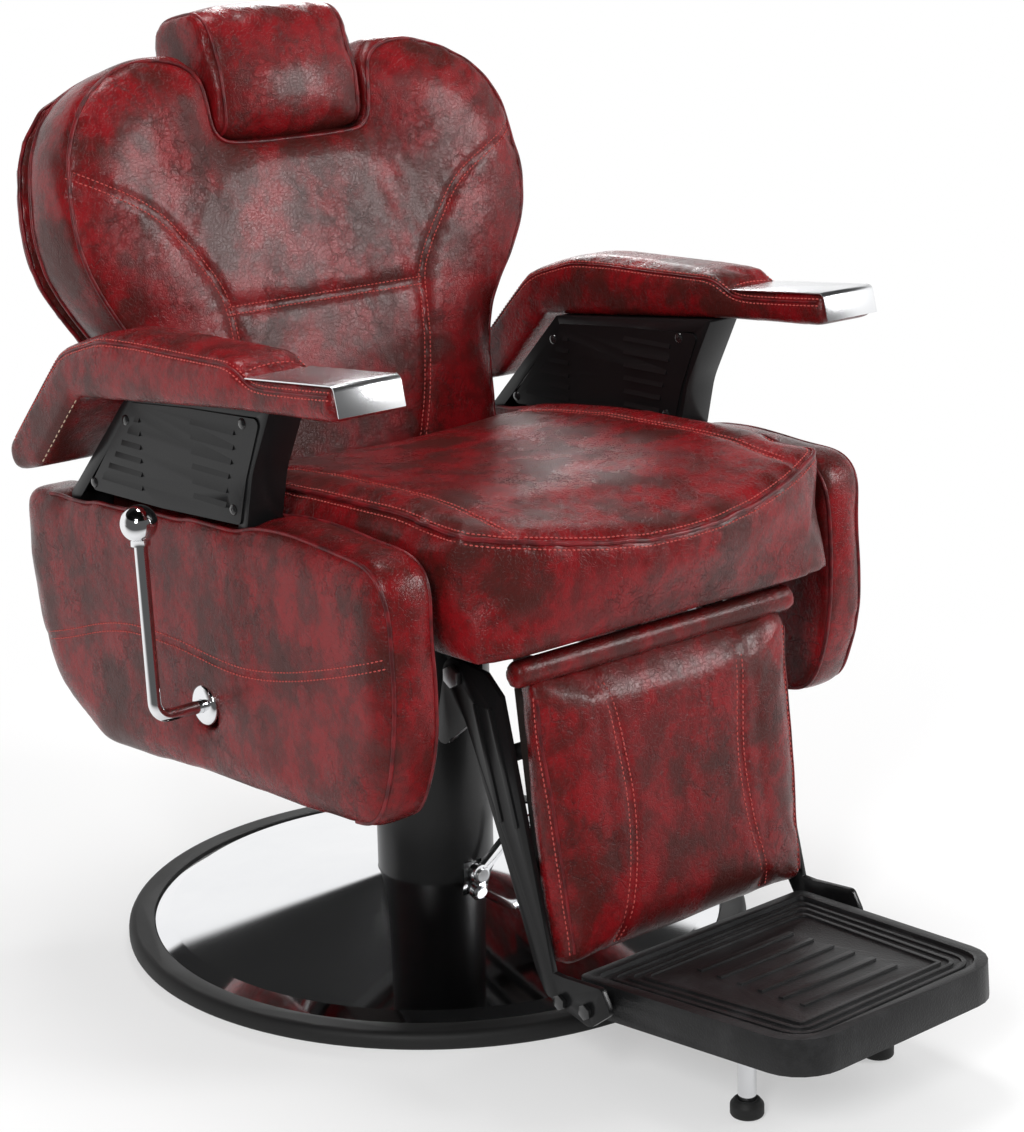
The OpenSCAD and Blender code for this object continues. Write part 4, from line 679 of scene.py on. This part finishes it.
cord_tree = Tree("piping_cord", Radius=0.0022, Finish=None)
path = cord_tree.add("GeometryNodeMeshToCurve", Mesh=cord_tree.start.outputs["Geometry"])
ring = cord_tree.add("GeometryNodeCurvePrimitiveCircle", Resolution=10,
                     Radius=cord_tree.start.outputs["Radius"])
cord = cord_tree.add("GeometryNodeCurveToMesh", Curve=path, Profile_Curve=ring, Fill_Caps=True)
cord_tree.close(cord_tree.add("GeometryNodeSetShadeSmooth", Geometry=cord))

stitch_tree = Tree("stitch_row", Pitch=0.0050, Length=0.0036, Thickness=0.0008, Finish=None)
sizes_in = stitch_tree.start.outputs
path = stitch_tree.add("GeometryNodeMeshToCurve", Mesh=sizes_in["Geometry"])
spaced = stitch_tree.add("GeometryNodeResampleCurve", {"mode": "LENGTH"}, Curve=path,
                         Length=sizes_in["Pitch"])
half = stitch_tree.add("ShaderNodeMath", {"operation": "MULTIPLY"}, Value=sizes_in["Length"])
half.node.inputs[1].default_value = 0.5
loop_size = stitch_tree.add("ShaderNodeCombineXYZ", X=sizes_in["Thickness"], Y=sizes_in["Thickness"], Z=half)
loop = stitch_tree.add("GeometryNodeMeshUVSphere", Segments=6, Rings=5, Radius=1.0)
lie = stitch_tree.add("FunctionNodeAlignRotationToVector", {"axis": "Z"},
                      Vector=stitch_tree.add("GeometryNodeInputTangent"))
row = stitch_tree.add("GeometryNodeInstanceOnPoints", Points=spaced, Instance=loop, Rotation=lie,
                      Scale=loop_size)
stitch_tree.close(row)
print("piping and stitch trees ready")

# %% Sewing
def sewn(name, body, tree, finish, curves, **sizes):
    """Run a tree along some curves and keep the result as one plain piece."""
    points = [tuple(map(float, p)) for curve in curves for p in curve]
    edges, first = [], 0
    for curve in curves:
        edges += [(first + i, first + i + 1) for i in range(len(curve) - 1)]
        first += len(curve)
    mesh = bpy.data.meshes.new(name)
    mesh.from_pydata(points, edges, [])
    piece = bpy.data.objects.new(name, mesh)
    scene.collection.objects.link(piece)
    follow = piece.modifiers.new("follow_the_curve", "NODES")
    follow.node_group = tree.group
    follow[tree.keys["Finish"]] = finish
    for label, value in sizes.items():
        follow[tree.keys[label]] = value
    plain_mesh(piece)
    piece.data.shade_smooth()
    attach(piece, body)
    print(f"{name}: {len(curves)} lines, {len(piece.data.polygons)} faces")
    return piece


def double_rows(mesh, seams, towards, gap=0.0042, proud=0.0001):
    """Two rows of stitches for each seam, one on each side of it."""
    return [lay_on(mesh, seam, towards, side * gap, proud) for seam in seams for side in (-1, 1)]


# %% [markdown]
# ## The seat cushion
# The seat is a deep box cushion. Its top is dished for the sitter, a cord of piping runs round its
# top edge, and two seams run from the backrest to the front lip, so that the middle panel and the
# two side bolsters swell apart from each other.

# %% Seat cushion
SEAT_HALF, SEAT_FRONT, SEAT_REAR, SEAT_SEAM = 0.235, -0.392, 0.106, 0.183
DOWN, REARWARD = (0, 0, -1), (0, 1, 0)
SIDE_HEIGHT = ((-0.392, 0.531), (-0.280, 0.540), (-0.080, 0.535), (0.046, 0.522), (0.106, 0.505))


def seat_lip(x):
    share = abs(x) / SEAT_HALF
    return (x, SEAT_FRONT + 0.057 * share**2.2, 0.501 + 0.030 * share**1.6)


def side_height(y):
    return float(np.interp(y, *zip(*SIDE_HEIGHT)))


seat_side = [(SEAT_HALF, y, side_height(y)) for y in (0.100, 0.03, -0.05, -0.13, -0.21, -0.28)]
seat_front = [seat_lip(x * SEAT_HALF) for x in np.linspace(1, -1, 15)]
seat_rim = curve_through([*seat_side, *seat_front, *[(-x, y, z) for x, y, z in reversed(seat_side)]])
seat_seam = curve_through([(SEAT_SEAM, y, 0.53) for y in np.linspace(SEAT_REAR - 0.004, -0.352, 12)])

seat = remeshed("seat_cushion", 0.005)
relax(seat.data, 6)
low = coords(seat.data)[:, 2].min()
blow_up(seat, coords(seat.data)[:, 2] < low + 0.006, 6)
seat_seams = laid_on(seat.data, both_sides(seat_seam), DOWN)
uneven(seat.data, 1.0, 0.07, 3)
press_seams(seat.data, seat_seams, 2.6, 4.0, 0.35)
press_seams(seat.data, [lay_on(seat.data, seat_rim)], 1.4, 4.5, 0.2, 0.026)
relax(seat.data, 2, 0.3)
covered(seat, "seat", LEATHER, 0.75, "seat_cushion")
top_seams = laid_on(seat.data, seat_seams, DOWN)
sewn("seat_piping", "seat", cord_tree, PIPING, [lay_on(seat.data, seat_rim, proud=0.0006)], Radius=0.0024)
rim_on_seat = lay_on(seat.data, seat_rim)
sewn("seat_stitches", "seat", stitch_tree, THREAD,
     [*double_rows(seat.data, top_seams, DOWN),
      *(lay_on(seat.data, rim_on_seat, None, k * 0.006, 0.0001) for k in (-1, 1))])
print("seat cushion dressed")

# %% [markdown]
# ## Side panels
# Each side of the seat is a padded panel on a board. Its front edge is a rounded band, with piping on
# both sides of the band, and a wavy seam with two rows of stitches divides the outer face. A panel is
# firm, so it swells by only a few millimetres, and its stuffing hangs a little below its board.

# %% Side panels
PANEL_IN, PANEL_OUT, PANEL_MIDDLE = 0.255, 0.313, -0.03
PANEL_HANG, HANG_FROM, HANG_FADE = 0.015, 0.50, 0.14
PANEL_STRETCH, REAR_SLOPE = 0.042, 0.004
panel_edge = [(0.225, 0.487), (0.131, 0.500), (0.04, 0.505), (-0.042, 0.509), (-0.11, 0.514), (-0.169, 0.518),
              (-0.243, 0.513), (-0.290, 0.503), (-0.311, 0.472), (-0.317, 0.42), (-0.313, 0.36),
              (-0.303, 0.308), (-0.285, 0.280), (-0.255, 0.270)]
panel_wave = [(0.262, 0.322), (0.20, 0.339), (0.13, 0.361), (0.072, 0.371), (0.0, 0.372), (-0.06, 0.368),
              (-0.112, 0.368), (-0.18, 0.380), (-0.25, 0.400), (-0.314, 0.421)]


def on_panel(points, x):
    return curve_through([(x, y, z) for y, z in points])


def stuffed_panel(co):
    """Let a stuffed panel hang a little longer and lower than its board's outline."""
    _, y, z = co.T
    low = np.clip((HANG_FROM - z) / HANG_FADE, 0, 1)
    drop = PANEL_HANG * low**2 * (3 - 2 * low) + REAR_SLOPE * np.clip(y / 0.2, 0, 1)
    return co + np.stack([y * 0, PANEL_STRETCH * (y - PANEL_MIDDLE), -drop], axis=1)


for side, sign in (("left", 1), ("right", -1)):
    node = "side_panel_" + side
    flip = (lambda c: c) if sign > 0 else mirrored
    panel = remeshed(node, 0.005)
    relax(panel.data, 4)
    x = np.abs(coords(panel.data)[:, 0])
    blow_up(panel, x < PANEL_IN + 0.012, 3)
    relax(panel.data, 3)
    set_coords(panel.data, stuffed_panel(coords(panel.data)))
    outer = lay_on(panel.data, stuffed_panel(flip(on_panel(panel_edge, PANEL_OUT - 0.004))))
    inner = lay_on(panel.data, stuffed_panel(flip(on_panel(panel_edge, PANEL_IN + 0.004))))
    wave = lay_on(panel.data, flip(on_panel(panel_wave, PANEL_OUT)), (-sign, 0, 0))
    uneven(panel.data, 0.3, 0.06, 5)
    press_seams(panel.data, [wave], 2.0, 3.6, 0.15)
    press_seams(panel.data, [outer], 0.8, 4.0, 0.1, 0.024)
    relax(panel.data, 2, 0.3)
    covered(panel, "seat", LEATHER, 0.9, node)
    sewn(f"panel_piping_{side}", "seat", cord_tree, PIPING,
         [lay_on(panel.data, outer, proud=0.0006), lay_on(panel.data, inner, proud=0.0004)], Radius=0.0021)
    sewn(f"panel_stitches_{side}", "seat", stitch_tree, THREAD,
         double_rows(panel.data, laid_on(panel.data, [wave], (-sign, 0, 0)), (-sign, 0, 0)))
print("side panels dressed")

# %% [markdown]
# ## Arm pads
# An arm pad is one thick cushion on top of the pillar. It is highest behind the chrome cap, where a
# seam crosses it, and its rear end droops over the pillar. The top panel is sewn to the two side
# panels along its edges. The cover is closed by hand under the droop, with a coarser, paler thread.

# %% Arm pads
ARM_IN, ARM_OUT = 0.268, 0.348
arm_edge = [(-0.297, 0.666), (-0.24, 0.661), (-0.188, 0.658), (-0.172, 0.664), (-0.156, 0.673),
            (-0.10, 0.675), (0.0, 0.674), (0.064, 0.668), (0.100, 0.659), (0.138, 0.643), (0.19, 0.596),
            (0.238, 0.548)]
for side, sign in (("left", 1), ("right", -1)):
    node = "arm_pad_" + side
    flip = (lambda c: c) if sign > 0 else mirrored
    pad = remeshed(node, 0.004)
    relax(pad.data, 4)
    co = coords(pad.data)
    blow_up(pad, (co[:, 1] < -0.170) | (co[:, 2] < 0.62 - 0.1 * co[:, 1]), 3)
    cross = flip(curve_through([(x, -0.166, 0.68) for x in np.linspace(ARM_IN + 0.002, ARM_OUT - 0.002, 7)]))
    droop = flip(curve_through([(ARM_OUT - 0.005, y, z) for y, z in
                                ((0.119, 0.598), (0.135, 0.582), (0.160, 0.556), (0.186, 0.529))]))
    edges = [flip(curve_through([(x, y, z) for y, z in arm_edge])) for x in (ARM_IN + 0.001, ARM_OUT - 0.001)]
    edges = laid_on(pad.data, edges)
    cross = lay_on(pad.data, cross, DOWN)
    uneven(pad.data, 0.5, 0.05, 7)
    press_seams(pad.data, [cross, *edges], 1.2, 3.5, 0.2, 0.017)
    relax(pad.data, 1, 0.3)
    covered(pad, "seat", LEATHER, 0.85, node)
    sewn(f"arm_piping_{side}", "seat", cord_tree, PIPING, laid_on(pad.data, edges), Radius=0.0012)
    rows = [lay_on(pad.data, c, None, k * 0.0035, 0.0001) for c in edges for k in (-1, 1)]
    sewn(f"arm_stitches_{side}", "seat", stitch_tree, THREAD,
         [*rows, lay_on(pad.data, cross, None, 0.003, 0.0001)])
    sewn(f"droop_stitches_{side}", "seat", stitch_tree, PALE_THREAD,
         [lay_on(pad.data, droop, None, 0, 0.0002)], Pitch=0.0075, Length=0.0056, Thickness=0.0007)
print("arm pads dressed")

# %% [markdown]
# ## Backrest
# The backrest is shaped like a violin: broad wings beside the headrest, and a waist that passes
# between the arms. Two curved seams follow its outline and divide the wings from the middle panel,
# and one straight seam crosses the middle panel at the sitter's waist. It is stuffed more fully than
# the seat. Places on it are easiest to give as (across, up along the back, out from its board).

# %% Backrest
LEAN = math.radians(13.2)
FOAM, REAR_FULLNESS = 0.060, 0.016


def on_back(x, up, out=FOAM):
    y = 0.163 + (FOAM - out) * math.cos(LEAN) + up * math.sin(LEAN)
    z = 0.655 - (FOAM - out) * math.sin(LEAN) + up * math.cos(LEAN)
    return (x, y, z)


towards_sitter = np.array([0, -math.cos(LEAN), math.sin(LEAN)])
up_the_back = np.array([0, math.sin(LEAN), math.cos(LEAN)])


def fuller_back(co):
    """The stuffing behind the wings makes the upper back deeper towards the rear."""
    from_board = co - on_back(0, 0, 0)
    rear = np.clip((0.035 - from_board @ towards_sitter) / 0.045, 0, 1)
    upper = np.clip((from_board @ up_the_back + 0.14) / 0.12, 0, 1)
    return co - towards_sitter * (REAR_FULLNESS * rear * upper)[:, None]


# Each line is a row of (up along the back, across).
wing_line = [(-0.216, 0.087), (-0.169, 0.095), (-0.129, 0.109), (-0.089, 0.118), (-0.053, 0.125),
             (-0.02, 0.1275), (0.0, 0.128), (0.024, 0.136), (0.046, 0.150), (0.075, 0.172),
             (0.103, 0.195), (0.122, 0.223), (0.139, 0.256), (0.150, 0.276), (0.160, 0.291)]
back_outline = [(-0.219, 0.206), (-0.145, 0.216), (-0.075, 0.227), (-0.030, 0.241), (0.015, 0.271),
                (0.060, 0.295), (0.105, 0.303), (0.140, 0.300), (0.185, 0.292), (0.225, 0.270),
                (0.257, 0.227), (0.272, 0.170), (0.272, 0.135)]
front_edge = [(-0.219, 0.200), (-0.145, 0.210), (-0.075, 0.221), (-0.030, 0.235), (0.015, 0.265),
              (0.060, 0.288), (0.105, 0.296), (0.140, 0.293), (0.185, 0.285), (0.225, 0.262),
              (0.250, 0.230), (0.266, 0.192), (0.268, 0.158), (0.261, 0.130), (0.244, 0.112),
              (0.215, 0.107), (0.197, 0.105), (0.184, 0.100), (0.175, 0.088), (0.172, 0.045), (0.172, 0.0)]
back = remeshed("backrest_cushion", 0.005)
relax(back.data, 6)
front_depth = (coords(back.data) - on_back(0, 0, 0)) @ towards_sitter
blow_up(back, front_depth < 0.010, 7)
set_coords(back.data, fuller_back(coords(back.data)))
wing_seam = curve_through([on_back(x, up, FOAM + 0.02) for up, x in wing_line])
waist_seam = curve_through([on_back(x, 0.0, FOAM + 0.02) for x in np.linspace(-0.128, 0.128, 11)])
back_seams = laid_on(back.data, (*both_sides(wing_seam), waist_seam), -towards_sitter)
uneven(back.data, 1.2, 0.08, 11)
press_seams(back.data, back_seams[:2], 2.4, 3.8, 0.35)
press_seams(back.data, back_seams[2:], 1.6, 3.4, 0.3)
relax(back.data, 2, 0.3)
covered(back, "back", LEATHER, 0.85, "backrest_cushion")
back_seams = laid_on(back.data, back_seams, -towards_sitter)
sewn("back_stitches", "back", stitch_tree, THREAD, double_rows(back.data, back_seams, -towards_sitter))
edge = fuller_back(curve_through([on_back(x, up, 0.004) for up, x in back_outline]))
rear_edge = fuller_back(curve_through([on_back(x - 0.004, up, -0.014) for up, x in back_outline]))
brow = [on_back(x, up, FOAM + 0.03) for up, x in front_edge]
brow = curve_through([*brow, *[(-x, y, z) for x, y, z in reversed(brow[:-1])]])
brow = lay_on(back.data, brow, -towards_sitter)
sewn("back_piping", "back", cord_tree, PIPING,
     [*laid_on(back.data, both_sides(edge), proud=0.0006), brow + towards_sitter * 0.0004], Radius=0.0022)

cover = remeshed("back_cover", 0.006)
relax(cover.data, 4)
set_coords(cover.data, fuller_back(coords(cover.data)))
covered(cover, "back", LEATHER_REAR, 0.6, "back_cover")
sewn("cover_piping", "back", cord_tree, PIPING,
     laid_on(cover.data, both_sides(rear_edge), proud=0.0004), Radius=0.0022)
print("backrest dressed")

# %% [markdown]
# ## Headrest
# The headrest is a small pillow in the notch of the back, sewn like a box: a front and a rear panel
# with an end panel on each side, and piping round each end.

# %% Headrest
HEAD_LOW, HEAD_HIGH, HEAD_END = 0.184, 0.316, 0.089
HEAD_BACK, HEAD_FRONT = -0.028, 0.068
HEAD_DEEPER, HEAD_HIGHER, HEAD_SINK = 0.20, 0.09, 0.005
head_ring = [(HEAD_BACK + 0.002, HEAD_LOW + 0.006), (HEAD_FRONT - 0.010, HEAD_LOW + 0.002),
             (HEAD_FRONT - 0.001, HEAD_LOW + 0.014), (HEAD_FRONT + 0.003, HEAD_LOW + 0.062),
             (HEAD_FRONT - 0.004, HEAD_HIGH - 0.022), (HEAD_FRONT - 0.026, HEAD_HIGH - 0.002),
             (HEAD_BACK + 0.030, HEAD_HIGH), (HEAD_BACK + 0.006, HEAD_HIGH - 0.022),
             (HEAD_BACK - 0.001, HEAD_LOW + 0.062), (HEAD_BACK + 0.002, HEAD_LOW + 0.006)]


def fuller_head(co):
    """The pillow stands out behind the back and a little above it."""
    from_board = co - on_back(0, 0, 0)
    deeper = HEAD_DEEPER * (HEAD_FRONT - from_board @ towards_sitter)
    higher = HEAD_HIGHER * (from_board @ up_the_back - HEAD_LOW) - HEAD_SINK
    return co - towards_sitter * deeper[:, None] + up_the_back * higher[:, None]


head = remeshed("headrest_cushion", 0.004)
relax(head.data, 5)
head_depth = (coords(head.data) - on_back(0, 0, 0)) @ towards_sitter
blow_up(head, head_depth < -0.022, 4)
set_coords(head.data, fuller_head(coords(head.data)))
ends = [fuller_head(curve_through([on_back(x, up, out) for out, up in head_ring]))
        for x in (-HEAD_END, HEAD_END)]
ends = laid_on(head.data, ends)
uneven(head.data, 0.8, 0.05, 13)
press_seams(head.data, ends, 1.4, 3.6, 0.3, 0.018)
relax(head.data, 2, 0.3)
covered(head, "headrest", LEATHER, 0.9, "headrest_cushion")
sewn("headrest_piping", "headrest", cord_tree, PIPING, laid_on(head.data, ends, proud=0.0004), Radius=0.0020)
print("headrest dressed")

# %% [markdown]
# ## Legrest
# The legrest pad hangs from the seat's front edge, and is a little wider at its top. Two bowed seams
# run down it, and its sides are piped. The roll above it closes the gap under the seat. The roll is
# filled out from its top, which stays where it is, so that it fills the gap and not the seat.

# %% Legrest
LEG_SLOPE, LEG_TOP, LEG_LOW = 0.14, 0.374, 0.111
LEG_BACK, LEG_WIDER, LEG_HIGHER = -0.335, 0.08, 0.009
ROLL_FILL = (1.0, 1.3, 1.45)


def on_leg(x, z, out=0.0):
    return (x, LEG_BACK - LEG_SLOPE * (LEG_TOP - z) - out, z)


leg = remeshed("legrest_cushion", 0.005)
relax(leg.data, 5)
leg_depth = coords(leg.data)[:, 1] + LEG_SLOPE * (LEG_TOP - coords(leg.data)[:, 2])
blow_up(leg, leg_depth > leg_depth.max() - 0.008, 5)
top = np.clip((coords(leg.data)[:, 2] - 0.30) / 0.07, 0, 1)
co = coords(leg.data) + np.outer(top, (0, 0, LEG_HIGHER))
in_front = np.clip((leg_depth.max() - 0.012 - leg_depth) / 0.02, 0, 1)
co[:, 0] *= 1 + LEG_WIDER * np.clip((co[:, 2] - LEG_LOW) / 0.25, 0, 1) * in_front
set_coords(leg.data, co)
leg_bow = ((0.381, 0.092), (0.314, 0.080), (0.249, 0.074), (0.186, 0.080), (0.122, 0.098))
leg_line = curve_through([on_leg(x, z, 0.03) for z, x in leg_bow])
leg_seams = laid_on(leg.data, both_sides(leg_line), REARWARD)
uneven(leg.data, 0.9, 0.06, 17)
press_seams(leg.data, leg_seams, 2.2, 3.8, 0.3)
relax(leg.data, 2, 0.3)
covered(leg, "legrest", LEATHER, 0.85, "legrest_cushion")
leg_seams = laid_on(leg.data, leg_seams, REARWARD)
side_line = curve_through([on_leg(0.150 + 0.05 * (z - LEG_LOW), z, 0.03)
                           for z in np.linspace(LEG_TOP - 0.010, LEG_LOW + 0.012, 9)])
side_lines = laid_on(leg.data, both_sides(side_line), REARWARD)
sewn("legrest_stitches", "legrest", stitch_tree, THREAD,
     [*double_rows(leg.data, leg_seams, REARWARD),
      *(lay_on(leg.data, c, REARWARD, 0.0042, 0.0001) for c in side_lines)])
sewn("legrest_piping", "legrest", cord_tree, PIPING, side_lines, Radius=0.0016)

roll = remeshed("legrest_roll", 0.004)
relax(roll.data, 2)
co = coords(roll.data)
middle = (co.max(axis=0) + co.min(axis=0)) / 2
under_seat = np.array([*middle[:2], co[:, 2].max()])
set_coords(roll.data, under_seat + (co - under_seat) * ROLL_FILL)
uneven(roll.data, 0.4, 0.03, 19)
covered(roll, "legrest", LEATHER, 0.9, "legrest_roll")
print("legrest dressed")

# %% [markdown]
# ## Floor and light
# A plain pale floor carries the shadow. The camera sees it and the backdrop as white, while the light
# that reaches the chair stays at a plain level. Mirror-like surfaces see white towards the backdrop
# and a dim room on the camera's side and overhead, so the chrome has dark bands beside its bright
# ones. Soft lamps stand to the left, to the right, above and behind, as in a product studio.

# %% Floor, backdrop and lamps
FLOOR_GLOW, WORLD_LIGHT, DIM_SIDE, DIM_TOP = 0.45, 0.42, 0.10, 0.02
AWAY = (math.sin(-AZIMUTH), math.cos(-AZIMUTH), 0.0)
FLOOR_HALF = 6.0
WALL_EDGE, WALL_TOP = (-0.35, 0.10), (0.445, 0.475)


def floor_finish():
    f = Finish("studio_floor")
    tint = f.mix(f.noise(3.0, 2.0), (0.90, 0.90, 0.90), (0.92, 0.92, 0.92))
    material = f.surface(tint, 0.7, Specular_IOR_Level=0.2)
    far = f.node("ShaderNodeVectorMath", {"operation": "LENGTH"}, f.place, output="Value").above(0.45, 1.5)
    from_camera = f.node("ShaderNodeLightPath", {}, output="Is Camera Ray")
    from_mirror = f.node("ShaderNodeLightPath", {}, output="Is Glossy Ray")
    beyond = f.node("ShaderNodeVectorMath", {"operation": "DOT_PRODUCT"}, f.place, AWAY, output="Value")
    level = (beyond.above(-1.3, -0.1) * (1 - DIM_SIDE) + DIM_SIDE) * (1 - from_camera) + from_camera
    white = f.node("ShaderNodeEmission", {}, f.mix(level, (0.0, 0.0, 0.0), (1.0, 1.0, 1.0)))
    either = f.node("ShaderNodeMath", {"operation": "MAXIMUM"}, from_camera, from_mirror)
    share = (far * (1 - FLOOR_GLOW) + FLOOR_GLOW) * either
    both = f.node("ShaderNodeMixShader", {}, share, Wire(f, f.shader.outputs[0]), white)
    f.feed(f.tree.nodes["Material Output"].inputs["Surface"], both)
    return material


floor_mesh = bpy.data.meshes.new("studio_floor")
corners = [(x * FLOOR_HALF, y * FLOOR_HALF, 0) for x, y in ((-1, -1), (1, -1), (1, 1), (-1, 1))]
floor_mesh.from_pydata(corners, [], [(0, 1, 2, 3)])
floor_mesh.materials.append(floor_finish())
floor = bpy.data.objects.new("studio_floor", floor_mesh)
scene.collection.objects.link(floor)


def soft_lamp(name, place, aim, size, power):
    lamp = bpy.data.lights.new(name, "AREA")
    lamp.shape, lamp.size, lamp.size_y, lamp.energy = "RECTANGLE", *size, power
    stand = bpy.data.objects.new(name, lamp)
    stand.location = place
    stand.rotation_euler = (Vector(aim) - Vector(place)).to_track_quat("-Z", "Y").to_euler()
    scene.collection.objects.link(stand)


soft_lamp("key_left", (-2.4, -1.8, 2.0), (0, 0, 0.6), (0.62, 1.0), 52)
soft_lamp("front_right", (1.9, -2.2, 1.6), (0, 0, 0.6), (0.62, 1.0), 42)
soft_lamp("top_light", (0.2, 0.4, 3.0), (0, 0, 0.5), (0.85, 0.85), 34)
soft_lamp("back_right", (1.6, 2.0, 1.7), (0, 0, 0.5), (0.6, 0.7), 16)

world = bpy.data.worlds.new("studio")
scene.world = world
world.use_nodes = True
room = world.node_tree


def room_node(kind, *values, **settings):
    made = room.nodes.new(kind)
    for key, value in settings.items():
        setattr(made, key, value)
    for socket, value in zip(made.inputs, values):
        if isinstance(value, bpy.types.NodeSocket):
            room.links.new(value, socket)
        elif value is not None:
            socket.default_value = value
    return made.outputs[0]


look = room_node("ShaderNodeTexCoord").node.outputs["Generated"]
backdrop_way = (*AWAY[:2], -0.45)
behind = room_node("ShaderNodeVectorMath", look, backdrop_way, operation="DOT_PRODUCT").node.outputs["Value"]
wall = room_node("ShaderNodeMapRange", behind, *WALL_EDGE, DIM_SIDE, 1.0, interpolation_type="SMOOTHSTEP")
height = room_node("ShaderNodeSeparateXYZ", look).node.outputs["Z"]
wall_top = room_node("ShaderNodeMapRange", height, *WALL_TOP, 1.0, DIM_TOP, interpolation_type="SMOOTHSTEP")
lit_part = room_node("ShaderNodeMath", wall, wall_top, operation="MULTIPLY")
paths = room_node("ShaderNodeLightPath").node
mirror = room_node("ShaderNodeMix", paths.outputs["Is Glossy Ray"], None, WORLD_LIGHT, lit_part)
level = room_node("ShaderNodeMix", paths.outputs["Is Camera Ray"], None, mirror, 1.0)
room.links.new(level, room.nodes["Background"].inputs["Strength"])
room.nodes["Background"].inputs["Color"].default_value = (1, 1, 1, 1)
print("studio ready")
